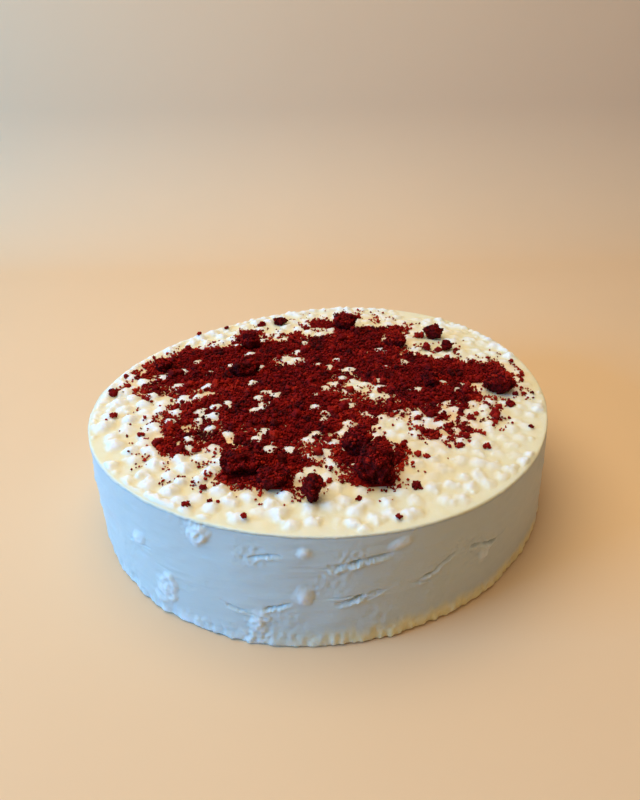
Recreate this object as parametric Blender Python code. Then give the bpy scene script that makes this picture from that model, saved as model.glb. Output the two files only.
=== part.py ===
"""Round red velvet layer cake, iced all over with cream cheese frosting.

The cake is one solid: icing and sponge together, because it is uncut.  Its
flat top is dotted with small cream peaks pulled up by a spatula, a thick
drift of red cake crumbs covers most of it, and larger lumps of crumbled cake
sit on the drift.  Metres, +Z up, the cake stands on the plane z = 0 and its
bounding box is centred on the Z axis.  -Y is the front.
"""

import math
import random

import bmesh
import bpy
from mathutils import Matrix, Vector, noise
from mathutils.bvhtree import BVHTree
from mathutils.geometry import delaunay_2d_cdt

# ---------------------------------------------------------------- dimensions
CAKE_HEIGHT = 0.060
TOP_RADIUS = 0.129
FOOT_RADIUS = 0.134
TOP_LEAN = Vector((0.0039, 0.0))        # the top sits a little to the right
TOP_WAVES = ((2, 0.013, 0.040), (3, -0.024, -0.004))
FOOT_WAVES = ((2, -0.006, 0.009), (3, 0.009, 0.003))
RIM_ROUND = 0.0014
RIM_STEP = 0.3                          # where its bend is, in rim rounds
CLEARANCE = 0.0003                      # between two separate solids
SIDE_SEGMENTS = 78
SIDE_LEVELS = (0.84, 0.66, 0.46, 0.26, 0.09)
SIDE_WAVINESS = 0.0008
FOOT_TUCK = 0.0012

# Cream peaks: wide and tall on the left, small and low on the right.
PEAK_SPACING_LEFT = 0.0088
PEAK_SPACING_RIGHT = 0.0071
PEAK_HEIGHT_LEFT = 0.0038
PEAK_HEIGHT_RIGHT = 0.0023
PEAK_HEIGHT_SPREAD = (0.65, 1.3)
PEAK_FOOT = 0.39                        # foot radius, in spacings
PEAK_FOOT_SPREAD = (0.85, 1.15)
PEAK_APART = 0.91                       # least distance, in spacings
PEAK_PULL = 0.4                         # how far the tip leans, in foot radii
PEAK_FOOT_CORNERS = 5
PEAK_NECK_CORNERS = 3
PEAK_NECK_OUT = 0.52                    # the neck's radius, in foot radii
PEAK_NECK_UP = 0.5                      # its height, in peak heights
PEAK_NECK_PULL = 0.4                    # its share of the tip's lean
PEAK_FREE_RIM = 0.0052                  # smooth ring inside the top edge
MERGE_FLAT = 1e-7                       # corners nearer than this are one

# The crumb drift: ellipses (x, y, half length, half width, turn in degrees)
# laid over each other, on the top's own centre.
DRIFTS = (
    (0.002, 0.021, 0.118, 0.034, -3.0),
    (-0.074, 0.034, 0.040, 0.028, 15.0),
    (0.016, 0.068, 0.044, 0.042, 5.0),
    (-0.030, 0.056, 0.034, 0.013, 0.0),
    (-0.051, 0.066, 0.013, 0.024, 0.0),
    (-0.036, -0.034, 0.056, 0.046, 12.0),
    (-0.030, -0.078, 0.030, 0.020, -18.0),
    (0.021, -0.063, 0.019, 0.032, 0.0),
    (0.056, -0.018, 0.040, 0.036, 20.0),
)
# Places inside the drift where bare cream shows.
WINDOWS = (
    (-0.024, 0.039, 0.011, 0.008, 20.0),
    (0.014, 0.007, 0.011, 0.009, -30.0),
    (0.031, -0.012, 0.009, 0.007, 0.0),
    (0.038, -0.046, 0.010, 0.013, 15.0),
    (-0.010, -0.060, 0.007, 0.007, 0.0),
    (-0.066, -0.044, 0.010, 0.007, 30.0),
    (-0.093, -0.007, 0.009, 0.007, 0.0),
)
DRIFT_EDGE_NOISE = 0.20
DRIFT_SPACING = 0.0060
DRIFT_REACH = 1.5                       # longest drift triangle, in spacings
DRIFT_THIN = 0.0014
DRIFT_THICK = 0.0038
DRIFT_SEAT = 0.0018                     # pressed flat under the lumps
DRIFT_SLACK = -0.02                     # how far outside its line a triangle may lie

# Lumps of crumbled cake: x, y, width, depth, height, on the top's centre.
LUMPS = (
    (0.0225, -0.0870, 0.0225, 0.0220, 0.0165),
    (0.0150, -0.0670, 0.0170, 0.0130, 0.0120),
    (-0.0430, -0.0785, 0.0250, 0.0200, 0.0095),
    (-0.0265, -0.0905, 0.0170, 0.0140, 0.0070),
    (-0.0080, -0.1015, 0.0105, 0.0140, 0.0115),
    (0.0150, 0.0895, 0.0190, 0.0160, 0.0095),
    (0.0752, 0.0714, 0.0145, 0.0120, 0.0095),
    (0.0813, 0.0526, 0.0095, 0.0085, 0.0060),
    (0.1021, -0.0036, 0.0200, 0.0170, 0.0075),
    (0.0476, 0.0600, 0.0170, 0.0150, 0.0050),
    (0.0630, 0.0040, 0.0130, 0.0120, 0.0060),
    (-0.0500, 0.0220, 0.0190, 0.0170, 0.0070),
    (-0.0493, 0.0600, 0.0145, 0.0130, 0.0090),
    (-0.1025, 0.0290, 0.0130, 0.0115, 0.0060),
    (-0.0320, 0.1000, 0.0115, 0.0095, 0.0050),
)
LUMP_REACH = 0.55                       # room kept round a lump, in its widths
BIG_LUMP = 0.021                        # wider lumps get finer faces
LUMP_ROUGHNESS = 0.30
LUMP_MIDDLE = 0.45                      # height of its widest part, in heights

# Crumbs that stand out singly on the cream: x, y, size, on the top's centre.
LOOSE_CRUMBS = (
    (-0.126, -0.001, 0.0062), (-0.120, 0.008, 0.0042), (-0.119, -0.027, 0.0042),
    (-0.045, 0.098, 0.0055), (-0.088, -0.056, 0.0070), (-0.099, -0.047, 0.0036),
    (-0.065, -0.106, 0.0036), (-0.038, -0.115, 0.0030), (0.030, -0.116, 0.0030),
    (0.041, -0.094, 0.0050), (0.049, -0.071, 0.0036), (0.081, -0.063, 0.0038),
    (0.109, -0.045, 0.0028), (0.104, -0.021, 0.0050), (0.093, -0.031, 0.0058),
    (0.110, -0.010, 0.0034), (0.120, -0.009, 0.0026), (0.075, -0.046, 0.0045),
    (-0.055, -0.103, 0.0028), (0.013, -0.102, 0.0034), (0.066, 0.073, 0.0060),
    (-0.087, 0.078, 0.0036), (-0.070, 0.092, 0.0034), (0.075, 0.050, 0.0044),
)
LOOSE_LIFT = 0.18                       # middle above the cream, in sizes
CRUMB_REACH = 0.62                      # room a crumb takes, in sizes
CRUMB_JITTER = 0.22
BIT_COUNT = 34
BIT_TRIES = 6000
BIT_SIZES = (0.0046, 0.0080)
BIT_APART = 0.0125
BIT_INSIDE = 0.03                       # least drift depth all round a bit
BIT_MARGIN = 0.003
BIT_LIFT = 0.53                         # least height of its middle, in sizes

# Icing marks: bearing in degrees from the front (+ is to the right), height,
# length, width, depth or stand-out, tilt in degrees.
TEARS = (
    (6.0, 0.0470, 0.030, 0.0042, 0.0030, 8.0),
    (6.5, 0.0275, 0.024, 0.0040, 0.0025, 12.0),
    (23.0, 0.0345, 0.024, 0.0032, 0.0020, 25.0),
    (35.0, 0.0355, 0.030, 0.0032, 0.0024, -18.0),
    (-13.5, 0.0485, 0.020, 0.0030, 0.0020, 10.0),
    (-10.0, 0.0225, 0.016, 0.0030, 0.0026, 20.0),
    (-18.5, 0.0195, 0.014, 0.0026, 0.0018, -10.0),
)
DABS = (
    (-27.0, 0.0525, 0.012, 0.0130, 0.0028, 0.0),
    (-43.0, 0.0350, 0.011, 0.0090, 0.0020, 20.0),
    (-34.0, 0.0160, 0.014, 0.0180, 0.0022, -12.0),
    (-4.5, 0.0290, 0.009, 0.0105, 0.0020, 10.0),
    (-5.0, 0.0520, 0.008, 0.0070, 0.0014, 0.0),
    (-13.0, 0.0130, 0.009, 0.0160, 0.0016, -5.0),
    (35.5, 0.0290, 0.009, 0.0100, 0.0018, -25.0),
    (14.0, 0.0530, 0.013, 0.0060, 0.0014, 15.0),
)
HIDDEN_SIDE = (65.0, 305.0)             # bearings that carry drawn-by-rule marks
HIDDEN_TEARS = 6
HIDDEN_DABS = 4
MARK_HEIGHTS = (0.014, 0.050)
MARK_TILTS = (-18.0, 18.0)
FOOT_LOBES = 12
LOBE_SIZES = (0.0045, 0.0075)
LOBE_INSET = 0.35                       # in sizes
LOBE_UP = 0.3                           # in sizes
LOBE_LOWEST = 0.0002

CREAM = (0.86, 0.82, 0.66)
CRUMB = (0.16, 0.004, 0.006)
LUMP = (0.085, 0.002, 0.005)


# ------------------------------------------------------------------ outlines
def wavy(radius, waves, angle):
    """Radius of a slightly uneven circle at an angle."""
    share = 1.0
    for turns, along, across in waves:
        share += along * math.cos(turns * angle) + across * math.sin(turns * angle)
    return radius * share


def side_point(angle, height):
    """Point on the icing's side, given the height above the table."""
    rise = height / CAKE_HEIGHT
    radius = (wavy(FOOT_RADIUS, FOOT_WAVES, angle) * (1.0 - rise)
              + wavy(TOP_RADIUS, TOP_WAVES, angle) * rise)
    way = Vector((math.cos(angle), math.sin(angle)))
    ripple = noise.noise(Vector((way.x * 3.0, way.y * 3.0, rise * 2.0)))
    edge_fade = min(1.0, 4.0 * (1.0 - rise))
    radius += SIDE_WAVINESS * ripple * edge_fade
    return TOP_LEAN * rise + way * radius


def top_room(x, y):
    """Distance from a point on the top to its edge, from the top's centre."""
    return wavy(TOP_RADIUS, TOP_WAVES, math.atan2(y, x)) - math.hypot(x, y)


def ellipse_depth(x, y, shape):
    """1 at an ellipse's middle, 0 on its line, negative outside it."""
    centre_x, centre_y, half_length, half_width, degrees = shape
    turn = math.radians(degrees)
    dx, dy = x - centre_x, y - centre_y
    along = dx * math.cos(turn) + dy * math.sin(turn)
    across = dy * math.cos(turn) - dx * math.sin(turn)
    return 1.0 - math.hypot(along / half_length, across / half_width)


def drift_depth(x, y):
    """Positive where the crumb drift lies, growing away from its edge."""
    depth = max(ellipse_depth(x, y, shape) for shape in DRIFTS)
    ragged = noise.noise(Vector((x * 60.0, y * 60.0, 4.0)))
    depth += DRIFT_EDGE_NOISE * ragged
    hole = max(ellipse_depth(x, y, shape) for shape in WINDOWS)
    return min(depth, -0.8 * hole)


def around(x, y, distance, count=8):
    """The point itself and a ring of points about it."""
    ring = [(x, y)]
    for step in range(count):
        angle = math.tau * step / count
        ring.append((x + distance * math.cos(angle), y + distance * math.sin(angle)))
    return ring


def clear_of_drift(x, y, distance):
    return all(drift_depth(px, py) < 0.0 for px, py in around(x, y, distance))


def clear_of_lumps(x, y, distance):
    for lump_x, lump_y, width, depth, height in LUMPS:
        room = distance + LUMP_REACH * max(width, depth)
        if math.hypot(x - lump_x, y - lump_y) < room:
            return False
    return True


# ------------------------------------------------------------- Blender helpers
def clear_scene():
    for item in list(bpy.data.objects):
        bpy.data.objects.remove(item, do_unlink=True)


def material(name, colour, roughness):
    made = bpy.data.materials.new(name)
    made.use_nodes = True
    shader = made.node_tree.nodes["Principled BSDF"]
    shader.inputs["Base Color"].default_value = (*colour, 1.0)
    shader.inputs["Roughness"].default_value = roughness
    shader.inputs["Metallic"].default_value = 0.0
    made.diffuse_color = (*colour, 1.0)
    return made


def make_object(name, bm, finish=None, collection=None):
    """Turn a bmesh into an object with outward faces."""
    bmesh.ops.recalc_face_normals(bm, faces=bm.faces)
    mesh = bpy.data.meshes.new(name)
    bm.to_mesh(mesh)
    bm.free()
    made = bpy.data.objects.new(name, mesh)
    (collection or bpy.context.scene.collection).objects.link(made)
    if finish:
        mesh.materials.append(finish)
    return made


def work_collection(name):
    made = bpy.data.collections.new(name)
    bpy.context.scene.collection.children.link(made)
    return made


def combine(target, collection, operation):
    """Join or cut the collection's solids with one Boolean, and apply it."""
    tool = target.modifiers.new(operation.title(), "BOOLEAN")
    tool.operation = operation
    tool.operand_type = "COLLECTION"
    tool.collection = collection
    tool.solver = "MANIFOLD"
    depsgraph = bpy.context.evaluated_depsgraph_get()
    result = bpy.data.meshes.new_from_object(target.evaluated_get(depsgraph))
    target.modifiers.clear()
    target.data = result
    for item in list(collection.objects):
        bpy.data.objects.remove(item, do_unlink=True)
    bpy.data.collections.remove(collection)


def smooth(target, angle=35.0):
    target.data.shade_smooth()
    target.data.set_sharp_from_angle(angle=math.radians(angle))


# --------------------------------------------------------------- cream peaks
def rightness(x):
    """0 at the top's left edge, 1 at its right edge."""
    return min(1.0, max(0.0, 0.5 + 0.5 * x / TOP_RADIUS))


def peak_spacing(x):
    return PEAK_SPACING_LEFT + (PEAK_SPACING_RIGHT - PEAK_SPACING_LEFT) * rightness(x)


def peak_height(x):
    return PEAK_HEIGHT_LEFT + (PEAK_HEIGHT_RIGHT - PEAK_HEIGHT_LEFT) * rightness(x)


def peak_places():
    """Peak centres over the whole top, never closer than their spacing."""
    draw = random.Random(11)
    step = PEAK_SPACING_RIGHT * 0.4
    reach = int(1.1 * TOP_RADIUS / step)
    tries = []
    for row in range(-reach, reach + 1):
        for column in range(-reach, reach + 1):
            tries.append(((column + draw.random()) * step, (row + draw.random()) * step))
    draw.shuffle(tries)
    places = []
    for x, y in tries:
        if top_room(x, y) < PEAK_FREE_RIM:
            continue
        apart = PEAK_APART * peak_spacing(x)
        if all(math.hypot(x - px, y - py) > apart for px, py in places):
            places.append((x, y))
    return places


def is_bare(x, y):
    """True where a peak has room: off the drift and off the lumps."""
    reach = 1.2 * PEAK_FOOT * peak_spacing(x) + CLEARANCE
    return clear_of_drift(x, y, reach) and clear_of_lumps(x, y, reach)


def peak_rings(foot, height):
    """(corners, radius, rise, share of the lean) of a peak's neck and its foot."""
    neck = (PEAK_NECK_CORNERS, PEAK_NECK_OUT * foot, PEAK_NECK_UP * height, PEAK_NECK_PULL)
    return neck, (PEAK_FOOT_CORNERS, foot, 0.0, 0.0)


def top_points():
    """(x, y, rise, sideways pull) for every corner of the top's peaks."""
    draw = random.Random(23)
    points = []
    for x, y in peak_places():
        if not is_bare(x, y):
            continue
        height = peak_height(x) * draw.uniform(*PEAK_HEIGHT_SPREAD)
        foot = PEAK_FOOT * peak_spacing(x) * draw.uniform(*PEAK_FOOT_SPREAD)
        pull_angle = draw.uniform(0.0, math.tau)
        pull = Vector((math.cos(pull_angle), math.sin(pull_angle))) * PEAK_PULL * foot
        points.append((x, y, height, pull))
        for count, radius, rise, lean in peak_rings(foot, height):
            turn = draw.uniform(0.0, math.tau)
            for corner in range(count):
                angle = turn + math.tau * corner / count
                ring_x = x + radius * math.cos(angle)
                ring_y = y + radius * math.sin(angle)
                points.append((ring_x, ring_y, rise, pull * lean))
    return points


# ---------------------------------------------------------------------- cake
def side_ring(bm, angles, height, inset):
    """A ring of corners round the cake at one height."""
    ring = []
    for angle in angles:
        way = Vector((math.cos(angle), math.sin(angle)))
        spot = side_point(angle, height) - way * inset
        ring.append(bm.verts.new((spot.x, spot.y, height)))
    return ring


def top_face(bm, rim):
    """Fill the top inside its rim with the peaks' triangles."""
    relief = top_points()
    flat = [corner.co.xy for corner in rim]
    flat += [Vector((x, y)) + TOP_LEAN for x, y, rise, pull in relief]
    rim_edges = [(step, (step + 1) % len(rim)) for step in range(len(rim))]
    filled = delaunay_2d_cdt(flat, rim_edges, [], 1, MERGE_FLAT)
    spots, faces, origins = filled[0], filled[2], filled[3]
    corners = []
    for spot, origin in zip(spots, origins):
        if origin[0] < len(rim):
            corners.append(rim[origin[0]])
            continue
        x, y, rise, pull = relief[origin[0] - len(rim)]
        corners.append(bm.verts.new((spot.x + pull.x, spot.y + pull.y, CAKE_HEIGHT + rise)))
    for face in faces:
        bm.faces.new([corners[index] for index in face])


def cake_body():
    """Icing and sponge as one solid: top relief, rounded rim, side and foot."""
    bm = bmesh.new()
    angles = [math.tau * step / SIDE_SEGMENTS for step in range(SIDE_SEGMENTS)]
    ring = side_ring(bm, angles, CAKE_HEIGHT, RIM_ROUND)
    top_face(bm, ring)
    rows = [(CAKE_HEIGHT - RIM_STEP * RIM_ROUND, RIM_STEP * RIM_ROUND),
            (CAKE_HEIGHT - RIM_ROUND, 0.0)]
    rows += [(CAKE_HEIGHT * level, 0.0) for level in SIDE_LEVELS]
    rows += [(FOOT_TUCK, 0.0), (0.0, FOOT_TUCK)]
    for height, inset in rows:
        lower = side_ring(bm, angles, height, inset)
        for step in range(SIDE_SEGMENTS):
            after = (step + 1) % SIDE_SEGMENTS
            bm.faces.new((ring[step], ring[after], lower[after], lower[step]))
        ring = lower
    bm.faces.new(ring)
    return make_object("frosted_cake", bm, material("cream_icing", CREAM, 0.45))


def crumb_bmesh(size, draw, detail=1, squash=1.0):
    """A small irregular crumb with few faces, centred on the origin."""
    bm = bmesh.new()
    bmesh.ops.create_icosphere(bm, subdivisions=detail, radius=size / 2.0)
    for corner in bm.verts:
        corner.co *= 1.0 + draw.uniform(-CRUMB_JITTER, CRUMB_JITTER)
    turn = Matrix.Rotation(draw.uniform(0.0, math.tau), 3, "Z")
    stretch = Matrix.Diagonal((draw.uniform(0.9, 1.15), draw.uniform(0.8, 1.0), squash))
    bmesh.ops.transform(bm, matrix=turn @ stretch, verts=bm.verts)
    return bm


def on_side(bm, bearing, height, tilt):
    """Move a mark made round the origin (length X, width Z, depth Y) to the side."""
    angle = math.radians(bearing - 90.0)
    spot = side_point(angle, height)
    place = (Matrix.Translation((spot.x, spot.y, height))
             @ Matrix.Rotation(math.radians(bearing), 4, "Z")
             @ Matrix.Rotation(-math.radians(tilt), 4, "Y"))
    bmesh.ops.transform(bm, matrix=place, verts=bm.verts)


def side_mark(name, mark, collection):
    bearing, height, length, width, depth, tilt = mark
    bm = bmesh.new()
    bmesh.ops.create_icosphere(bm, subdivisions=2, radius=1.0)
    bmesh.ops.scale(bm, vec=(length / 2.0, depth, width / 2.0), verts=bm.verts)
    for corner in bm.verts:
        corner.co.z += 0.0006 * noise.noise(corner.co * 300.0 + Vector((bearing, 0.0, 0.0)))
    on_side(bm, bearing, height, tilt)
    made = make_object(name, bm, collection=collection)
    made.display_type = "WIRE"
    made.hide_render = True


def hidden_marks(count, lengths, widths, depths, seed):
    """Marks like the front's, spread by a rule over the sides and the back."""
    draw = random.Random(seed)
    start, stop = HIDDEN_SIDE
    marks = []
    for step in range(count):
        bearing = start + (stop - start) * (step + draw.uniform(0.2, 0.8)) / count
        marks.append((bearing, draw.uniform(*MARK_HEIGHTS), draw.uniform(*lengths),
                      draw.uniform(*widths), draw.uniform(*depths),
                      draw.uniform(*MARK_TILTS)))
    return marks


def add_foot_lobes(collection):
    """Blobs of icing squeezed out round the foot."""
    draw = random.Random(5)
    for step in range(FOOT_LOBES):
        bearing = 360.0 * (step + draw.uniform(0.1, 0.9)) / FOOT_LOBES
        size = draw.uniform(*LOBE_SIZES)
        bm = crumb_bmesh(size, draw, detail=1, squash=0.75)
        angle = math.radians(bearing - 90.0)
        way = Vector((math.cos(angle), math.sin(angle)))
        spot = side_point(angle, 0.0) - way * LOBE_INSET * size
        bmesh.ops.translate(bm, vec=(spot.x, spot.y, LOBE_UP * size), verts=bm.verts)
        for corner in bm.verts:
            corner.co.z = max(corner.co.z, LOBE_LOWEST)
        make_object(f"lobe_{step}", bm, collection=collection)


def add_loose_crumbs(cake, collection):
    """Single crumbs sunk a little into the cream."""
    draw = random.Random(31)
    ground = BVHTree.FromObject(cake, bpy.context.evaluated_depsgraph_get())
    for number, (x, y, size) in enumerate(LOOSE_CRUMBS):
        reach = CRUMB_REACH * size + CLEARANCE
        if not (clear_of_drift(x, y, reach) and clear_of_lumps(x, y, reach)):
            continue
        above = Vector((x + TOP_LEAN.x, y + TOP_LEAN.y, 2.0 * CAKE_HEIGHT))
        hit = ground.ray_cast(above, Vector((0.0, 0.0, -1.0)))[0]
        bm = crumb_bmesh(size, draw, detail=1, squash=0.8)
        bmesh.ops.translate(bm, vec=hit + Vector((0.0, 0.0, LOOSE_LIFT * size)), verts=bm.verts)
        make_object(f"loose_{number}", bm, collection=collection)


def build_cake():
    cake = cake_body()
    added = work_collection("added")
    for number, mark in enumerate(list(DABS) + hidden_marks(
            HIDDEN_DABS, (0.005, 0.010), (0.006, 0.016), (0.0014, 0.0024), 41)):
        side_mark(f"dab_{number}", mark, added)
    add_foot_lobes(added)
    add_loose_crumbs(cake, added)
    combine(cake, added, "UNION")
    torn = work_collection("torn")
    for number, mark in enumerate(list(TEARS) + hidden_marks(
            HIDDEN_TEARS, (0.014, 0.030), (0.0026, 0.0042), (0.0018, 0.0030), 43)):
        side_mark(f"tear_{number}", mark, torn)
    combine(cake, torn, "DIFFERENCE")
    return cake


# --------------------------------------------------------------- crumb drift
def drift_places():
    """Scattered corners inside the drift's outline."""
    draw = random.Random(7)
    rows = int(1.1 * TOP_RADIUS / DRIFT_SPACING)
    spots = []
    for row in range(-rows, rows + 1):
        for column in range(-rows, rows + 1):
            x = (column + 0.5 * (row % 2) + draw.uniform(-0.2, 0.2)) * DRIFT_SPACING
            y = (row + draw.uniform(-0.2, 0.2)) * DRIFT_SPACING * math.sqrt(0.75)
            if drift_depth(x, y) > 0.0 and top_room(x, y) > PEAK_FREE_RIM:
                spots.append(Vector((x, y)))
    return spots


def drift_thickness(x, y):
    """Height of the drift's top over the icing."""
    depth = min(1.0, max(0.0, 3.0 * drift_depth(x, y)))
    broad = noise.noise(Vector((x * 50.0, y * 50.0, 9.0)))
    rough = noise.cell(Vector((x * 400.0, y * 400.0, 9.0)))
    share = depth * (0.40 + 0.5 * broad + 0.45 * rough)
    thickness = DRIFT_THIN + (DRIFT_THICK - DRIFT_THIN) * min(1.0, max(0.0, share))
    if not clear_of_lumps(x, y, DRIFT_SPACING):
        thickness = min(thickness, DRIFT_SEAT)
    return max(thickness, DRIFT_THIN)


def fans_at(corner):
    """Groups of faces round a corner that share edges with each other."""
    left = set(corner.link_faces)
    fans = []
    while left:
        fan = [left.pop()]
        for face in fan:
            for edge in face.edges:
                if corner in edge.verts:
                    for other in edge.link_faces:
                        if other in left:
                            left.remove(other)
                            fan.append(other)
        fans.append(fan)
    return fans


def keep_largest_sheet(bm):
    """Drop loose scraps, and faces that hang on by a single corner."""
    trimmed = True
    while trimmed:
        trimmed = False
        for corner in list(bm.verts):
            if corner.is_valid and corner.link_faces:
                fans = sorted(fans_at(corner), key=len)
                if len(fans) > 1:
                    bmesh.ops.delete(bm, geom=fans[0], context="FACES")
                    trimmed = True
        left = set(bm.faces)
        sheets = []
        while left:
            sheet = [left.pop()]
            for face in sheet:
                for edge in face.edges:
                    for other in edge.link_faces:
                        if other in left:
                            left.remove(other)
                            sheet.append(other)
            sheets.append(sheet)
        sheets.sort(key=len)
        for sheet in sheets[:-1]:
            bmesh.ops.delete(bm, geom=sheet, context="FACES")
            trimmed = True
    loose = [corner for corner in bm.verts if not corner.link_faces]
    bmesh.ops.delete(bm, geom=loose, context="VERTS")


def drift_sheet():
    """The drift's outline and windows as one flat sheet of triangles."""
    spots = drift_places()
    filled = delaunay_2d_cdt(spots, [], [], 0, MERGE_FLAT)
    places, faces = filled[0], filled[2]
    bm = bmesh.new()
    corners = [bm.verts.new((spot.x, spot.y, 0.0)) for spot in places]
    for face in faces:
        middle = sum((places[index] for index in face), Vector((0.0, 0.0))) / 3.0
        longest = max((places[face[k]] - places[face[k - 1]]).length for k in range(3))
        inside = drift_depth(middle.x, middle.y) > DRIFT_SLACK
        if longest < DRIFT_REACH * DRIFT_SPACING and inside:
            bm.faces.new([corners[index] for index in face])
    keep_largest_sheet(bm)
    return bm


def drift_underside(bm, sheet, rim, floor):
    """Flat underside inside the sheet's own outline, as {upper corner: lower corner}."""
    upper = list({corner for edge in rim for corner in edge.verts})
    upper.sort(key=lambda corner: (corner.co.x, corner.co.y))
    number = {corner: index for index, corner in enumerate(upper)}
    lower = [bm.verts.new((corner.co.x, corner.co.y, floor)) for corner in upper]
    outline = [(number[edge.verts[0]], number[edge.verts[1]]) for edge in rim]
    flat = [corner.co.xy for corner in upper]
    filled = delaunay_2d_cdt(flat, outline, [], 0, MERGE_FLAT)
    spots, faces, origins = filled[0], filled[2], filled[3]
    for face in faces:
        middle = sum((spots[index] for index in face), Vector((0.0, 0.0))) / 3.0
        if sheet.ray_cast(Vector((*middle, 1.0)), Vector((0.0, 0.0, -1.0)))[0]:
            bm.faces.new([lower[origins[index][0]] for index in face])
    return dict(zip(upper, lower))


def drift_core():
    """The sheet raised to its thickness, over a flat underside."""
    bm = drift_sheet()
    sheet = BVHTree.FromBMesh(bm)
    floor = CAKE_HEIGHT + CLEARANCE
    top = list(bm.verts)
    rim = [edge for edge in bm.edges if len(edge.link_faces) == 1]
    below = drift_underside(bm, sheet, rim, floor)
    for edge in rim:
        first, second = edge.verts
        bm.faces.new((first, second, below[second], below[first]))
    for corner in top:
        corner.co.z = floor + drift_thickness(corner.co.x, corner.co.y)
    bmesh.ops.translate(bm, vec=(TOP_LEAN.x, TOP_LEAN.y, 0.0), verts=bm.verts)
    return make_object("crumb_bed", bm, material("red_crumb", CRUMB, 0.85))


def add_bits(collection):
    """Larger crumbs that stand out of the drift, spread evenly over it."""
    draw = random.Random(17)
    placed = []
    for turn in range(BIT_TRIES):
        if len(placed) == BIT_COUNT:
            break
        x = draw.uniform(-TOP_RADIUS, TOP_RADIUS)
        y = draw.uniform(-TOP_RADIUS, TOP_RADIUS)
        size = draw.uniform(*BIT_SIZES)
        reach = CRUMB_REACH * size
        ring = around(x, y, reach + BIT_MARGIN)
        inside = all(drift_depth(px, py) > BIT_INSIDE for px, py in ring)
        apart = all(math.hypot(x - px, y - py) > BIT_APART for px, py in placed)
        if not (inside and apart and clear_of_lumps(x, y, reach + CLEARANCE)):
            continue
        placed.append((x, y))
        bm = crumb_bmesh(size, draw, detail=1, squash=0.9)
        lowest = CAKE_HEIGHT + 2.0 * CLEARANCE + BIT_LIFT * size
        height = max(lowest, CAKE_HEIGHT + drift_thickness(x, y) + 0.1 * size)
        bmesh.ops.translate(bm, vec=(x + TOP_LEAN.x, y + TOP_LEAN.y, height), verts=bm.verts)
        make_object(f"bit_{len(placed)}", bm, collection=collection)


def build_drift():
    bed = drift_core()
    bits = work_collection("bits")
    add_bits(bits)
    combine(bed, bits, "UNION")
    return bed


# --------------------------------------------------------------------- lumps
def build_lump(number, lump):
    """A torn-off lump of cake, flat where it rests."""
    x, y, width, depth, height = lump
    seat = CAKE_HEIGHT + CLEARANCE
    if not clear_of_drift(x, y, 0.5 * max(width, depth)):
        seat += DRIFT_SEAT + CLEARANCE
    bm = bmesh.new()
    detail = 3 if width > BIG_LUMP else 2
    bmesh.ops.create_icosphere(bm, subdivisions=detail, radius=1.0)
    for corner in bm.verts:
        way = corner.co.normalized()
        broad = noise.noise(way * 1.3 + Vector((number * 5.0, 0.0, 0.0)))
        fine = noise.noise(way * 3.7 + Vector((0.0, number * 7.0, 0.0)))
        swell = 1.0 + LUMP_ROUGHNESS * (0.6 * broad + fine)
        place = way * swell
        upward = LUMP_MIDDLE + place.z * (1.0 - LUMP_MIDDLE)
        corner.co = (place.x * width / 2.0, place.y * depth / 2.0, upward * height)
    for corner in bm.verts:
        corner.co.z = max(corner.co.z, 0.0)
    reach_x = max(abs(corner.co.x) for corner in bm.verts)
    reach_y = max(abs(corner.co.y) for corner in bm.verts)
    top = max(corner.co.z for corner in bm.verts)
    fit = (width / 2.0 / reach_x, depth / 2.0 / reach_y, height / top)
    bmesh.ops.scale(bm, vec=fit, verts=bm.verts)
    bmesh.ops.translate(bm, vec=(x + TOP_LEAN.x, y + TOP_LEAN.y, seat), verts=bm.verts)
    name = f"crumb_lump_{number:02d}"
    return make_object(name, bm, material(name + "_finish", LUMP, 0.85))


# ---------------------------------------------------------------------- main
def centre_over_origin(parts):
    """Shift all the parts so that their common box is centred on the Z axis."""
    xs = [corner.co.x for part in parts for corner in part.data.vertices]
    ys = [corner.co.y for part in parts for corner in part.data.vertices]
    shift = Matrix.Translation((-(min(xs) + max(xs)) / 2.0, -(min(ys) + max(ys)) / 2.0, 0.0))
    for part in parts:
        part.data.transform(shift)


def main():
    clear_scene()
    parts = [build_cake(), build_drift()]
    for number, lump in enumerate(LUMPS, start=1):
        parts.append(build_lump(number, lump))
    centre_over_origin(parts)
    for part in parts:
        smooth(part)


main()
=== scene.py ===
"""Looks of a red velvet cake: frosting, cream peaks, crumb drift and lumps.

Laid out as a Blender add-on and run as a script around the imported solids.
Metres, +Z up, the cake stands on z = 0 and -Y is its front.
"""

import functools
import math
import random

import bmesh
import bpy
import numpy as np
from bpy.props import FloatProperty, FloatVectorProperty, IntProperty, PointerProperty
from mathutils import Matrix, Vector, noise
from mathutils.bvhtree import BVHTree


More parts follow.
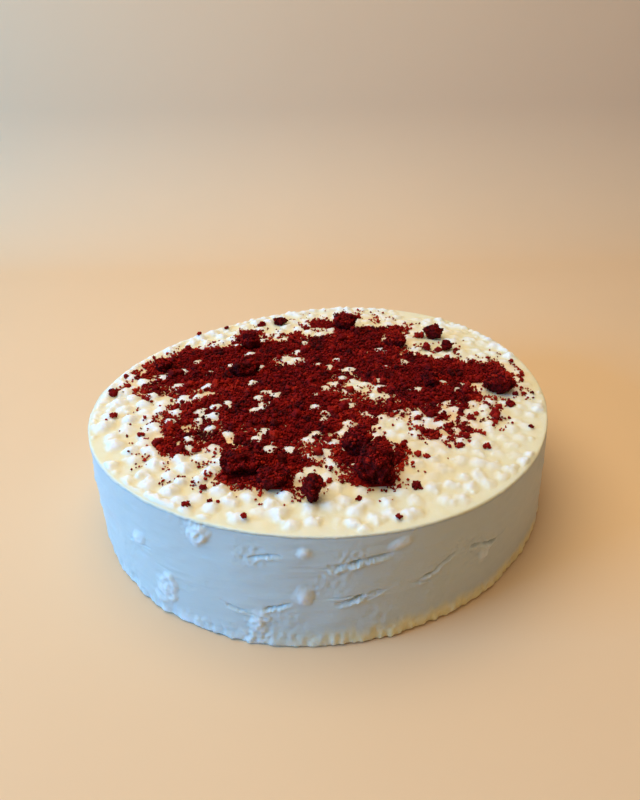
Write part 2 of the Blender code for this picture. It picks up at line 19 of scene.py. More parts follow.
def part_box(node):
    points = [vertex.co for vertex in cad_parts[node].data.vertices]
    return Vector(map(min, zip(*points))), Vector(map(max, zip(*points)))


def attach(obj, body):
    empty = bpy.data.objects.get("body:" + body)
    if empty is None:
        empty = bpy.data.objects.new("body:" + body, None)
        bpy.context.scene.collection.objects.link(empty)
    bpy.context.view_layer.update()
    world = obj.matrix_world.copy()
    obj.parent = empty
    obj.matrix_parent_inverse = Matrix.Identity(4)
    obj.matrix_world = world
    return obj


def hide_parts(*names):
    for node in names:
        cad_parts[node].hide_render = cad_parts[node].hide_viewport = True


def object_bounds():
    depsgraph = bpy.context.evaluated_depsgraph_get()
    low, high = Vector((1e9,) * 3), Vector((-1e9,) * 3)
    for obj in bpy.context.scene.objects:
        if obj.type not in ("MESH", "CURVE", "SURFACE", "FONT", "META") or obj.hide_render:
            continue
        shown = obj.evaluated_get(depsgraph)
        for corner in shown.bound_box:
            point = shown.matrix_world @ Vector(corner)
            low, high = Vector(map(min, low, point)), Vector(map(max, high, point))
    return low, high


bl_info = {
    "name": "Red velvet cake",
    "version": (1, 0, 0),
    "blender": (4, 5, 0),
    "location": "3D View > Sidebar > Cake",
    "description": "Frosting, cream peaks, crumb drift and crumb lumps of a red velvet cake",
    "category": "Add Mesh",
}

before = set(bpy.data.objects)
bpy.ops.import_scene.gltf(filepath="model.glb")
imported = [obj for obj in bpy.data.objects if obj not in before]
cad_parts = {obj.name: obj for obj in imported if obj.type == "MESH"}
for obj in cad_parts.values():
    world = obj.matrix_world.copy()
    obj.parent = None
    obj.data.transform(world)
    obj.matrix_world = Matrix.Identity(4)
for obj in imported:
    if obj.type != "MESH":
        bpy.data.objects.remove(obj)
CAD_BOX = [list(corner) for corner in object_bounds()]
LUMP_NODES = sorted(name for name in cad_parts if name.startswith("crumb_lump_"))
LUMP_PIECES = [f"lump_{number:02d}" for number in range(1, len(LUMP_NODES) + 1)]


# ------------------------------------------------ the cake's form, as solids
CAKE_HEIGHT = 0.060
TOP_RADIUS = 0.129
FOOT_RADIUS = 0.134
TOP_LEAN = Vector((0.0039, 0.0))
# Each wave of an outline: its count round the cake, its cosine and its sine share.
TOP_WAVES = ((2, 0.013, 0.040), (3, -0.024, -0.004))
FOOT_WAVES = ((2, -0.006, 0.009), (3, 0.009, 0.003))
RIM_ROUND = 0.0014
CLEARANCE = 0.0003
SIDE_WAVINESS = 0.0008
FOOT_RAGGED = 0.009
RIM_RAGGED = 0.0035
RIM_CRISP = 0.0007
RIM_FLAT = 0.003
TOP_INSET = 0.0009
RIM_LIP = 0.0013
LIP_WAVE = 0.0006
TOP_LEVEL = CAKE_HEIGHT + 0.00002
# Rise of the icing at which the painted cool light on the peak tips is full.
LIT_TIP_RISE = 0.0017
RELIEF_TOP = CAKE_HEIGHT - 0.5 * RIM_CRISP
RIM_STEPS = 3
FOOT_TUCK = 0.0011
FOOT_TUCK_HEIGHT = 0.0016

# Cream peaks: foot and least gap are shares of their spacing.
PEAK_SPACING_LEFT = 0.0088
PEAK_SPACING_RIGHT = 0.0071
PEAK_HEIGHT_LEFT = 0.0038
PEAK_HEIGHT_RIGHT = 0.0023
PEAK_FOOT = 0.39
PEAK_APART = 0.91
PEAK_FREE_RIM = 0.0052
PEAK_SETTLE = 0.70
SWELL_REACH = 1.55
RIM_PEAKS = 260

# Ellipses (x, y, half length, half width, turn in degrees) on the top's centre.
DRIFTS = (
    (0.002, 0.021, 0.118, 0.034, -3.0),
    (-0.074, 0.034, 0.040, 0.028, 15.0),
    (-0.098, 0.004, 0.018, 0.012, 0.0),
    (0.016, 0.068, 0.044, 0.042, 5.0),
    (-0.030, 0.056, 0.034, 0.013, 0.0),
    (-0.051, 0.066, 0.013, 0.024, 0.0),
    (-0.036, -0.034, 0.056, 0.046, 12.0),
    (-0.030, -0.078, 0.030, 0.020, -18.0),
    (0.021, -0.063, 0.019, 0.032, 0.0),
    (0.056, -0.018, 0.040, 0.036, 20.0),
)
WINDOWS = (
    (-0.024, 0.040, 0.008, 0.005, 20.0),
    (0.020, 0.004, 0.010, 0.006, -30.0),
    (0.031, -0.010, 0.007, 0.005, 0.0),
    (0.038, -0.046, 0.010, 0.013, 15.0),
    (-0.006, -0.084, 0.009, 0.006, 0.0),
    (-0.062, -0.073, 0.016, 0.011, 20.0),
    (0.086, -0.030, 0.008, 0.007, 0.0),
    (-0.094, -0.010, 0.008, 0.005, 0.0),
    (0.086, 0.048, 0.030, 0.013, -10.0),
    (-0.006, 0.083, 0.011, 0.009, 0.0),
    (0.034, 0.098, 0.018, 0.010, 0.0),
)
DRIFT_EDGE_NOISE = 0.20
HEAP_SUNK = CAKE_HEIGHT - 0.0012
HEAP_SKIN = 0.0004
HEAP_ROUGH = 0.0007
HEAP_THICK = 0.50
LUMP_SEAT = CAKE_HEIGHT - 0.0010
LUMP_FOOT_SLIM = 0.74
CRUMB_SHAPES = 8
CRUMB_FREE_RIM = 0.006
# Box area for which a full count of clinging grains is meant.
GRAIN_AREA = 0.0045
# Crumbs that stand out singly on the cream: x, y, size, on the top's centre.
LOOSE_CRUMBS = (
    (-0.126, -0.001, 0.0062), (-0.120, 0.008, 0.0042), (-0.119, -0.027, 0.0042),
    (-0.045, 0.098, 0.0055), (-0.088, -0.056, 0.0070), (-0.099, -0.047, 0.0036),
    (-0.065, -0.106, 0.0036), (-0.038, -0.115, 0.0030), (0.030, -0.116, 0.0030),
    (0.041, -0.094, 0.0050), (0.049, -0.071, 0.0036), (0.081, -0.063, 0.0038),
    (0.109, -0.045, 0.0028), (0.104, -0.021, 0.0050), (0.093, -0.031, 0.0058),
    (0.110, -0.010, 0.0034), (0.120, -0.009, 0.0026), (0.075, -0.046, 0.0045),
    (-0.055, -0.103, 0.0028), (0.013, -0.102, 0.0034), (0.066, 0.073, 0.0060),
    (-0.087, 0.078, 0.0036), (-0.070, 0.092, 0.0034), (0.075, 0.050, 0.0044),
)
# Where cream peaks stand clear of the drift, with the share of them that do.
LACES = (
    (0.052, -0.042, 0.042, 0.028, 15.0, 0.85),
    (-0.076, -0.036, 0.030, 0.026, 20.0, 0.55),
    (0.000, -0.060, 0.034, 0.022, 0.0, 0.50),
    (-0.048, -0.045, 0.020, 0.012, 0.0, 0.60),
    (0.008, -0.044, 0.016, 0.014, 0.0, 0.70),
    (0.022, 0.002, 0.034, 0.016, 0.0, 0.70),
    (-0.008, 0.042, 0.036, 0.018, 5.0, 0.40),
    (-0.034, 0.076, 0.026, 0.018, 0.0, 0.75),
    (0.074, 0.056, 0.022, 0.020, 0.0, 0.60),
    (-0.104, 0.012, 0.016, 0.032, 0.0, 0.35),
    (0.084, -0.030, 0.032, 0.024, 0.0, 0.85),
    (0.078, -0.004, 0.036, 0.016, 0.0, 0.45),
    (-0.044, -0.062, 0.024, 0.012, 0.0, 0.70),
    (-0.058, -0.062, 0.030, 0.016, 10.0, 0.60),
    (-0.030, -0.086, 0.036, 0.016, 0.0, 0.70),
    (0.030, 0.060, 0.022, 0.018, 0.0, 0.45),
)
LACE_ELSEWHERE = 0.17

# Side marks: bearing in degrees from the front, height, length, width, depth
# or stand-out, tilt in degrees.
TEARS = (
    (6.0, 0.0470, 0.030, 0.0042, 0.0030, 8.0),
    (6.5, 0.0275, 0.024, 0.0040, 0.0025, 12.0),
    (23.0, 0.0345, 0.024, 0.0032, 0.0020, 25.0),
    (35.0, 0.0355, 0.030, 0.0032, 0.0024, -18.0),
    (-13.5, 0.0485, 0.020, 0.0030, 0.0020, 10.0),
    (-10.0, 0.0225, 0.016, 0.0030, 0.0026, 20.0),
    (-18.5, 0.0195, 0.014, 0.0026, 0.0018, -10.0),
)
DABS = (
    (-27.0, 0.0525, 0.012, 0.0130, 0.0028, 0.0),
    (-43.0, 0.0350, 0.011, 0.0090, 0.0020, 20.0),
    (-34.0, 0.0160, 0.014, 0.0180, 0.0022, -12.0),
    (-4.5, 0.0290, 0.009, 0.0105, 0.0020, 10.0),
    (-5.0, 0.0520, 0.008, 0.0070, 0.0014, 0.0),
    (-13.0, 0.0130, 0.009, 0.0160, 0.0016, -5.0),
    (35.5, 0.0290, 0.009, 0.0100, 0.0018, -25.0),
    (14.0, 0.0530, 0.013, 0.0060, 0.0014, 15.0),
)
HIDDEN_SIDE = (65.0, 305.0)
HIDDEN_TEARS = 6
HIDDEN_DABS = 4
CREASES = 44

# The camera's place from the top's centre, and its height over the table.
CAMERA_SPOT = (-0.0037, -0.3329, 0.2472)
ROOM_COLOUR = (1.0, 0.82, 0.60, 1.0)
SWEEP_STEPS = 16
NEAR_CORNER = 0.5


def wavy(radius, waves, angle):
    """Radius of a nearly round outline at an angle."""
    share = 1.0
    for turns, along, across in waves:
        share += along * math.cos(turns * angle) + across * math.sin(turns * angle)
    return radius * share


def ripple(x, y, waves, layer):
    """Smooth noise from -1 to 1 over two measures, on a layer of its own."""
    return noise.noise(Vector((x * waves, y * waves, layer)))


def top_room(x, y):
    """Distance from a point on the top to its edge, from the top's centre."""
    return wavy(TOP_RADIUS, TOP_WAVES, math.atan2(y, x)) - math.hypot(x, y)


def top_middle():
    """The top's centre in the frame, read from the solid's rim."""
    level = CAKE_HEIGHT - 0.3 * RIM_ROUND
    spots = set()
    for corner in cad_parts["frosted_cake"].data.vertices:
        if abs(corner.co.z - level) < 0.00004:
            spots.add((round(corner.co.x, 5), round(corner.co.y, 5)))
    count = len(spots)
    return Vector((sum(x for x, y in spots) / count, sum(y for x, y in spots) / count))


TOP_MIDDLE = top_middle()
FOOT_MIDDLE = TOP_MIDDLE - TOP_LEAN


def side_point(angle, height):
    """Point on the icing's side, given the height above the table."""
    rise = height / CAKE_HEIGHT
    radius = (wavy(FOOT_RADIUS, FOOT_WAVES, angle) * (1.0 - rise)
              + wavy(TOP_RADIUS, TOP_WAVES, angle) * rise)
    way = Vector((math.cos(angle), math.sin(angle)))
    wave = ripple(way.x, way.y, 3.0, rise * 2.0)
    radius += SIDE_WAVINESS * wave * min(1.0, 4.0 * (1.0 - rise))
    return FOOT_MIDDLE + TOP_LEAN * rise + way * radius


def ellipse_depth(x, y, shape):
    """1 at an ellipse's middle, 0 on its line, negative outside it."""
    turn = math.radians(shape[4])
    dx, dy = x - shape[0], y - shape[1]
    along = dx * math.cos(turn) + dy * math.sin(turn)
    across = dy * math.cos(turn) - dx * math.sin(turn)
    return 1.0 - math.hypot(along / shape[2], across / shape[3])


def drift_depth(x, y):
    """Positive where the solid drift lies, growing away from its edge."""
    depth = max(ellipse_depth(x, y, shape) for shape in DRIFTS)
    ragged = ripple(x, y, 60.0, 4.0)
    depth += DRIFT_EDGE_NOISE * ragged
    hole = max(ellipse_depth(x, y, shape) for shape in WINDOWS)
    hole += 0.35 * ragged + 0.25 * ripple(x, y, 150.0, 6.0)
    return min(depth, -0.8 * hole)


def step_up(value, low, high):
    """0 below low, 1 above high, smooth between."""
    share = min(1.0, max(0.0, (value - low) / (high - low)))
    return share * share * (3.0 - 2.0 * share)


def lace(x, y):
    """Share of the cream peaks that stand clear of the crumbs at a place."""
    share = LACE_ELSEWHERE
    for zone in LACES:
        share = max(share, zone[5] * step_up(ellipse_depth(x, y, zone), 0.0, 0.4))
    return max(share, 1.0 - step_up(drift_depth(x, y), -0.04, 0.12))


def cover(x, y):
    """How far crumbs cover the cream between its bare peaks, from 0 to 1."""
    clump = ripple(x, y, 110.0, 1.0)
    clump += 0.8 * ripple(x, y, 300.0, 2.0)
    fine = ripple(x, y, 620.0, 8.0)
    edge = step_up(drift_depth(x, y) + 0.24 * clump, -0.10, 0.06)
    bare = -0.60 + 0.60 * (lace(x, y) - LACE_ELSEWHERE)
    return edge * step_up(0.6 * clump + 0.35 * fine, bare, bare + 0.24)


# -------------------------------------------------------------- mesh helpers
def keep_in_box(mesh):
    """Hold every corner of a mesh inside the solids' box."""
    places = np.empty(3 * len(mesh.vertices), dtype=np.float32)
    mesh.vertices.foreach_get("co", places)
    places = np.clip(places.reshape(-1, 3), CAD_BOX[0], CAD_BOX[1])
    mesh.vertices.foreach_set("co", places.ravel())
    mesh.update()


def finish_piece(name, mesh, material, replaced, smooth=True):
    """Object at the origin, riding on the cake, standing for the named nodes."""
    keep_in_box(mesh)
    old = bpy.data.objects.get(name)
    if old:
        bpy.data.objects.remove(old, do_unlink=True)
    piece = bpy.data.objects.new(name, mesh)
    bpy.context.scene.collection.objects.link(piece)
    mesh.materials.append(material)
    if smooth:
        mesh.polygons.foreach_set("use_smooth", [True] * len(mesh.polygons))
    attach(piece, "root")
    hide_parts(*replaced)


def mesh_from(bm, name):
    """Mesh of a bmesh, its faces turned outwards."""
    bmesh.ops.recalc_face_normals(bm, faces=bm.faces)
    mesh = bpy.data.meshes.new(name)
    bm.to_mesh(mesh)
    bm.free()
    return mesh


def mesh_from_arrays(name, corners, faces, tints):
    """Joined mesh of many small closed shapes, with a tint at each corner."""
    mesh = bpy.data.meshes.new(name)
    mesh.from_pydata(corners.tolist(), [], faces)
    attribute = mesh.attributes.new("tint", "FLOAT", "POINT")
    attribute.data.foreach_set("value", np.asarray(tints, dtype=np.float32))
    mesh.update()
    return mesh


def node_bmesh(node):
    """Merged copy of a solid's loose triangles."""
    bm = bmesh.new()
    bm.from_mesh(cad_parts[node].data)
    bmesh.ops.remove_doubles(bm, verts=bm.verts, dist=0.00002)
    return bm


# ---------------------------------------------------------- shader expressions
class Value:
    """A shader socket that takes part in Python arithmetic."""

    def __init__(self, shader, socket):
        self.shader = shader
        self.socket = socket

    def _math(self, operation, first, second):
        node = self.shader.tree.nodes.new("ShaderNodeMath")
        node.operation = operation
        self.shader.feed(node.inputs[0], first)
        self.shader.feed(node.inputs[1], second)
        return Value(self.shader, node.outputs[0])

    def __add__(self, other):
        return self._math("ADD", self, other)

    def __radd__(self, other):
        return self._math("ADD", other, self)

    def __sub__(self, other):
        return self._math("SUBTRACT", self, other)

    def __rsub__(self, other):
        return self._math("SUBTRACT", other, self)

    def __mul__(self, other):
        return self._math("MULTIPLY", self, other)

    def __rmul__(self, other):
        return self._math("MULTIPLY", other, self)


class Shader:
    """A material with one Principled shader and short ways to add nodes."""

    def __init__(self, name):
        self.material = bpy.data.materials.new(name)
        self.material.use_nodes = True
        self.tree = self.material.node_tree
        self.principled = self.tree.nodes["Principled BSDF"]

    def feed(self, socket, item):
        """Link a value to a socket, or set the socket to a plain value."""
        if isinstance(item, Value):
            self.tree.links.new(item.socket, socket)
        else:
            socket.default_value = item

    def add(self, kind, settings=None, output=0, **inputs):
        """A node of that kind: settings first, then its sockets by name."""
        node = self.tree.nodes.new("ShaderNode" + kind)
        for key, setting in (settings or {}).items():
            if key == "ramp":
                ramp = node.color_ramp
                while len(ramp.elements) < len(setting):
                    ramp.elements.new(0.5)
                for element, (place, colour) in zip(ramp.elements, setting):
                    element.position = place
                    element.color = (*colour, 1.0)
            else:
                setattr(node, key, setting)
        for key, item in inputs.items():
            self.feed(node.inputs[key.replace("_", " ")], item)
        return Value(self, node.outputs[output])

    def place(self, scale):
        """Object coordinates stretched by a scale for each axis."""
        return self.add("Mapping", Vector=self.add("TexCoord", output="Object"), Scale=scale)

    def rise(self, value, low, high):
        """0 at low, 1 at high, smooth between."""
        return self.add("MapRange", {"interpolation_type": "SMOOTHSTEP"}, Value=value,
                        From_Min=low, From_Max=high)

    def noise(self, scale, detail=3.0, rough=0.55, spot=None):
        """Noise from 0 to 1 over the object, or over the spot that is given."""
        spot = spot or self.add("TexCoord", output="Object")
        return self.add("TexNoise", Vector=spot, Scale=scale, Detail=detail, Roughness=rough)

    def blend(self, share, first, second):
        """Colour between two colours."""
        node = self.tree.nodes.new("ShaderNodeMix")
        node.data_type = "RGBA"
        node.clamp_factor = True
        self.feed(node.inputs[0], share)
        self.feed(node.inputs[6], first if isinstance(first, Value) else (*first, 1.0))
        self.feed(node.inputs[7], second if isinstance(second, Value) else (*second, 1.0))
        return Value(self, node.outputs[2])

    def bump(self, height, distance, strength):
        """Let a height roughen the surface."""
        normal = self.add("Bump", Height=height, Distance=distance, Strength=strength)
        self.feed(self.principled.inputs["Normal"], normal)

    def surface(self, **inputs):
        """Feed the Principled shader and hand back the material."""
        for key, item in inputs.items():
            self.feed(self.principled.inputs[key.replace("_", " ")], item)
        return self.material


def finish_cream(shader, colour, look, mottle):
    """Satin cream: fine grain, spatula streaks and a soft glow under the surface."""
    fine = shader.noise(900.0, 4.0)
    streak = shader.noise(1.0, 3.0, spot=shader.place((30.0, 30.0, 560.0)))
    lump = shader.noise(230.0, 2.0)
    shader.bump(0.35 * fine + 0.55 * streak + 0.7 * lump, 0.0004, 0.5)
    rough = look.cream_roughness + 0.12 * (mottle - 0.5)
    return shader.surface(
        Base_Color=colour, Roughness=rough, Subsurface_Weight=0.80,
        Subsurface_Radius=(1.0, 0.88, 0.66), Subsurface_Scale=0.0042,
        Specular_IOR_Level=0.35)


def cream_tone(shader, mottle):
    """Broad and fine changes of tone over the cream, about a half."""
    return (shader.noise(28.0, 2.0) - 0.5) * 1.2 + (mottle - 0.5) * 0.8 + 0.5


def frosting_material(look):
    """Cream of the side: darker and cooler than the top's as painted shade and painted cool light,
    whiter on dabs, and a painted warm reflection low at its right.
    """
    shader = Shader("frosting_cream")
    mottle = shader.noise(150.0, 3.0)
    # The side's colour is the cream darkened and cooled: painted shade and painted cool light.
    shade = [0.94 * part for part in look.shaded_side_colour]
    side = shader.blend(cream_tone(shader, mottle), look.shaded_side_colour, shade)
    fresh = shader.add("Attribute", {"attribute_name": "fresh"}, output="Fac")
    side = shader.blend(fresh, side, look.dab_colour)
    spot = shader.add("TexCoord", output="Object")
    height = shader.add("SeparateXYZ", output="Z", Vector=spot)
    across = shader.add("SeparateXYZ", output="X", Vector=spot)
    # Painted warm reflection: yellow low on the side and towards its right, where the left-out
    # gold plate throws its light.
    streaks = shader.noise(1.0, 3.0, spot=shader.place((170.0, 170.0, 24.0)))
    foot = shader.rise(height - streaks * 0.012, 0.006, -0.003)
    right = shader.rise(across, -0.05, 0.05)
    side = shader.blend(foot * right * 0.8, side, look.plate_reflection_colour)
    return finish_cream(shader, side, look, mottle)


def peak_material(look):
    """Cream of the top: yellowish in the hollows, tinted by red dust, paler and bluer at the tips
    as painted cool light.
    """
    shader = Shader("peak_cream")
    mottle = shader.noise(150.0, 3.0)
    cream = shader.blend(cream_tone(shader, mottle), look.hollow_colour, look.cream_colour)
    dust = shader.add("Attribute", {"attribute_name": "stain"}, output="Fac")
    cream = shader.blend(dust * 0.55, cream, look.stain_colour)
    # Painted cool light: by their height the tips turn to the pale bluish colour.
    rise = shader.add("Attribute", {"attribute_name": "tint"}, output="Fac")
    return finish_cream(shader, shader.blend(rise, cream, look.lit_tip_colour), look, mottle)


def crumb_red(shader, look, tone):
    """Red of the crumbs, from the darkest to the brightest."""
    stops = ((0.0, look.crumb_dark), (0.55, look.crumb_colour), (1.0, look.crumb_bright))
    return shader.add("ValToRGB", {"ramp": stops}, Fac=tone)


def crumb_material(look):
    """Dry red sponge crumb: matt, each crumb its own tone, with painted shade deep in the drift.
    """
    shader = Shader("red_crumbs")
    tint = shader.add("Attribute", {"attribute_name": "tint"}, output="Fac")
    colour = crumb_red(shader, look, tint + (shader.noise(1400.0, 2.0) - 0.5) * 0.55)
    shader.bump(shader.noise(2200.0, 3.0), 0.00025, 0.8)
    return shader.surface(Base_Color=colour, Roughness=0.86, Specular_IOR_Level=0.10,
                          Subsurface_Weight=0.15, Subsurface_Radius=(1.0, 0.15, 0.1),
                          Subsurface_Scale=0.0012)


def sponge_material(name, look, dark):
    """Torn red sponge of the lumps and of the drift's ground."""
    shader = Shader(name)
    grain = shader.noise(650.0, 4.0, 0.65)
    patch = shader.noise(120.0, 2.0)
    cell = shader.add("TexVoronoi", {"feature": "F1"}, output="Distance",
                      Vector=shader.add("TexCoord", output="Object"), Scale=520.0)
    tone = (grain - 0.5) * 1.5 + (patch - 0.5) * 0.5 + 0.55 - dark + (cell - 0.4) * 0.3
    shader.bump(grain + 0.8 * cell, 0.0009, 0.9)
    return shader.surface(Base_Color=crumb_red(shader, look, tone), Roughness=0.88,
                          Specular_IOR_Level=0.08)


# ------------------------------------------------------------------ frosting
def hidden_marks(count, lengths, widths, depths, seed, reach=HIDDEN_SIDE):
    """Side marks spread over a reach of bearings by a seeded rule."""
    draw = random.Random(seed)
    start, stop = reach
    marks = []
    for step in range(count):
        bearing = start + (stop - start) * (step + draw.uniform(0.2, 0.8)) / count
        marks.append((bearing, draw.uniform(0.014, 0.045), draw.uniform(*lengths),
                      draw.uniform(*widths), draw.uniform(*depths), draw.uniform(-18.0, 18.0)))
    return marks


def mark_place(mark, bearing, height):
    """Place along and across a side mark, in metres."""
    turn = (bearing - mark[0] + 180.0) % 360.0 - 180.0
    along = math.radians(turn) * TOP_RADIUS * 1.02
    across = height - mark[1]
    tilt = math.radians(mark[5])
    return (along * math.cos(tilt) + across * math.sin(tilt),
            across * math.cos(tilt) - along * math.sin(tilt))


def streak(along, waves, mark, layer):
    """Noise along a side mark, its own for each mark."""
    return noise.noise(Vector((along * waves, mark[0], layer)))


def tear_relief(mark, bearing, height):
    """A tear pulled by the spatula: steep above, ragged lifted lip below."""
    along, across = mark_place(mark, bearing, height)
    half = 0.5 * mark[2]
    if abs(along) > half or abs(across) > 2.5 * mark[3]:
        return 0.0
    across += 0.0011 * streak(along, 150.0, mark, 0.0)
    across += 0.0003 * streak(along, 900.0, mark, 3.0)
    open_share = max(0.0, 1.0 - (along / half) ** 2) ** 0.8
    open_share *= 0.60 + 0.95 * streak(along, 240.0, mark, 6.0)
    open_share = max(0.0, open_share)
    wide = mark[3] * (0.14 if across > 0.0 else 0.30)
    groove = math.exp(-(across / wide) ** 2)
    rough = 1.0 + 0.8 * ripple(along, across, 700.0, mark[0])
    lip = math.exp(-((across + 0.62 * mark[3]) / (0.26 * mark[3])) ** 2) * rough
    return mark[4] * open_share * (0.34 * lip - 0.78 * groove)


def dab_relief(mark, bearing, height):
    """A ragged dab of icing left standing on the side."""
    along, across = mark_place(mark, bearing, height)
    spread = 0.85 * math.hypot(2.0 * along / mark[2], 2.0 * across / mark[3])
    if spread > 1.4:
        return 0.0
    spread += 0.35 * ripple(along, across, 190.0, mark[0])
    rough = ripple(along, across, 300.0, mark[0])
    rough += 0.20 * ripple(along, across, 800.0, mark[0])
    return 0.85 * mark[4] * max(0.0, 1.0 - spread * spread) ** 1.6 * (0.80 + 0.60 * rough)


def crease_relief(mark, bearing, height):
    """A faint drag line left by the spatula: a thin ridge over a thin hollow."""
    along, across = mark_place(mark, bearing, height)
    half = 0.5 * mark[2]
    across += mark[3] * 1.6 * math.sin(1.3 * along / half + mark[0])
    if abs(along) > half or abs(across) > 0.0030:
        return 0.0
    across += 0.0004 * streak(along, 300.0, mark, 2.0)
    fade = (1.0 - (along / half) ** 2) * (0.6 + 0.8 * streak(along, 200.0, mark, 5.0))
    ridge = math.exp(-((across + 0.00050) / 0.00042) ** 2)
    hollow = math.exp(-((across - 0.00035) / 0.00038) ** 2)
    return mark[4] * max(0.0, fade) * (ridge - hollow)


def side_relief(bearing, height, tears, dabs, creases):
    """How far the icing stands out from the plain side."""
    angle = math.radians(bearing - 90.0)
    x, y = math.cos(angle), math.sin(angle)
    out = sum(tear_relief(mark, bearing, height) for mark in tears)
    out += sum(dab_relief(mark, bearing, height) for mark in dabs)
    out += sum(crease_relief(mark, bearing, height) for mark in creases)
    uneven = 0.00035 + 0.00065 * step_up(-x, 0.55, 0.95)
    out += uneven * ripple(x, y, 7.5, height * 75.0)
    out += 0.00026 * ripple(x, y, 12.0, height * 380.0)
    patch = step_up(ripple(x, y, 6.0, height * 40.0 + 30.0), 0.0, 0.35)
    out += 0.00045 * patch * ripple(x, y, 60.0, height * 500.0)
    foot = max(0.0, 1.0 - height / FOOT_RAGGED)
    flutes = ripple(x, y, 17.0, height * 60.0)
    flutes += 0.7 * ripple(x, y, 48.0, height * 160.0)
    calm = 0.65 + 0.6 * ripple(x, y, 5.0, 11.0)
    out += 0.0018 * calm * math.sqrt(foot) * (flutes - 0.15)
    rim = max(0.0, 1.0 - (CAKE_HEIGHT - height) / RIM_RAGGED)
    nicks = ripple(x, y, 60.0, 7.0)
    nicks += 0.6 * ripple(x, y, 160.0, height * 300.0)
    out += rim * (0.00030 * nicks - 0.0011 * max(0.0, nicks - 0.5))
    out += rim * 0.0008 * max(0.0, ripple(x, y, 33.0, 19.0) - 0.35)
    return out


def freshness(bearing, height, dabs):
    """How white the icing is: its dabs and its ragged foot, from 0 to 1."""
    standing = sum(dab_relief(mark, bearing, height) / mark[4] for mark in dabs)
    angle = math.radians(bearing)
    patch = ripple(math.cos(angle), math.sin(angle), 20.0, height * 120.0)
    foot = max(0.0, 1.0 - height / FOOT_RAGGED) * (0.45 + 0.8 * patch)
    return min(1.0, max(0.0, 0.8 * standing, foot))


def stain(x, y):
    """How far red dust tints the cream under and beside the drift."""
    patch = ripple(x, y, 90.0, 15.0)
    return step_up(drift_depth(x, y) + 0.12 * patch, -0.22, 0.15)


def ground_swell(x, y):
    """Soft unevenness of the cream between its peaks."""
    broad = ripple(x, y, 32.0, 3.0)
    fine = ripple(x, y, 150.0, 5.0)
    edge = min(1.0, max(0.0, top_room(x, y) - TOP_INSET) / 0.005)
    return edge * (0.00035 * broad + 0.00040 * fine)


def disc_place(u, v):
    """A square's point moved onto the unit disc."""
    return u * math.sqrt(1.0 - 0.5 * v * v), v * math.sqrt(1.0 - 0.5 * u * u)


def rim_profile():
    """(height, inset, share of the lip's wave) down over the rounded rim."""
    rows = []
    for step in range(1, RIM_STEPS + 1):
        turn = 0.5 * math.pi * step / RIM_STEPS
        rows.append((CAKE_HEIGHT - RIM_CRISP * (1.0 - math.cos(turn)),
                     RIM_CRISP * (1.0 - math.sin(turn)), 0.0))
    return rows


def level_angle(spot):
    """Angle of a place about the middle of its own level."""
    middle = FOOT_MIDDLE + TOP_LEAN * (spot.z / CAKE_HEIGHT)
    return math.atan2(spot.y - middle.y, spot.x - middle.x)


def bearing_of(spot):
    """Bearing of a place in degrees from the cake's front."""
    return math.degrees(level_angle(spot)) + 90.0


def near_mark(spot, marks):
    """Whether a place on the side lies on a mark or just beside it."""
    bearing = bearing_of(spot)
    for mark in marks:
        along, across = mark_place(mark, bearing, spot.z)
        if abs(along) < 0.55 * mark[2] + 0.002 and abs(across) < 0.75 * mark[3] + 0.0025:
            return True
    return False


@functools.cache
def side_marks():
    """Tears, dabs and creases of the whole side."""
    tears = hidden_marks(HIDDEN_TEARS, (0.014, 0.030), (0.0026, 0.0042), (0.0018, 0.0030), 43)
    dabs = hidden_marks(HIDDEN_DABS, (0.005, 0.010), (0.006, 0.016), (0.0014, 0.0024), 41)
    creases = hidden_marks(CREASES, (0.018, 0.055), (0.0006, 0.0020), (0.00025, 0.00055), 47,
                           (0.0, 360.0))
    return list(TEARS) + tears, list(DABS) + dabs, creases


def draw_ring(bm, edges, row):
    """Extrude the open edges to the next level of the cake's outline."""
    height, inset, lip = row
    drawn = bmesh.ops.extrude_edge_only(bm, edges=edges)["geom"]
    edges = [item for item in drawn if isinstance(item, bmesh.types.BMEdge) and item.is_boundary]
    for corner in {corner for edge in edges for corner in edge.verts}:
        angle = level_angle(corner.co)
        way = Vector((math.cos(angle), math.sin(angle)))
        level = height + lip * LIP_WAVE * ripple(way.x, way.y, 9.0, 5.0)
        corner.co = (*(side_point(angle, level) - way * inset), level)
    return edges


def push_out(corner, marks, tuck=0.0):
    """Move a corner of the side out by the icing's relief there."""
    bearing = bearing_of(corner.co)
    angle = math.radians(bearing - 90.0)
    out = side_relief(bearing, corner.co.z, *marks) - tuck
    corner.co += Vector((math.cos(angle), math.sin(angle), 0.0)) * out


def refine(bm, wanted, cuts):
    """Split the edges of the faces whose middles are wanted."""
    edges = set()
    for face in bm.faces:
        if wanted(face.calc_center_median()):
            edges.update(face.edges)
    bmesh.ops.subdivide_edges(bm, edges=list(edges), cuts=cuts, use_grid_fill=True)


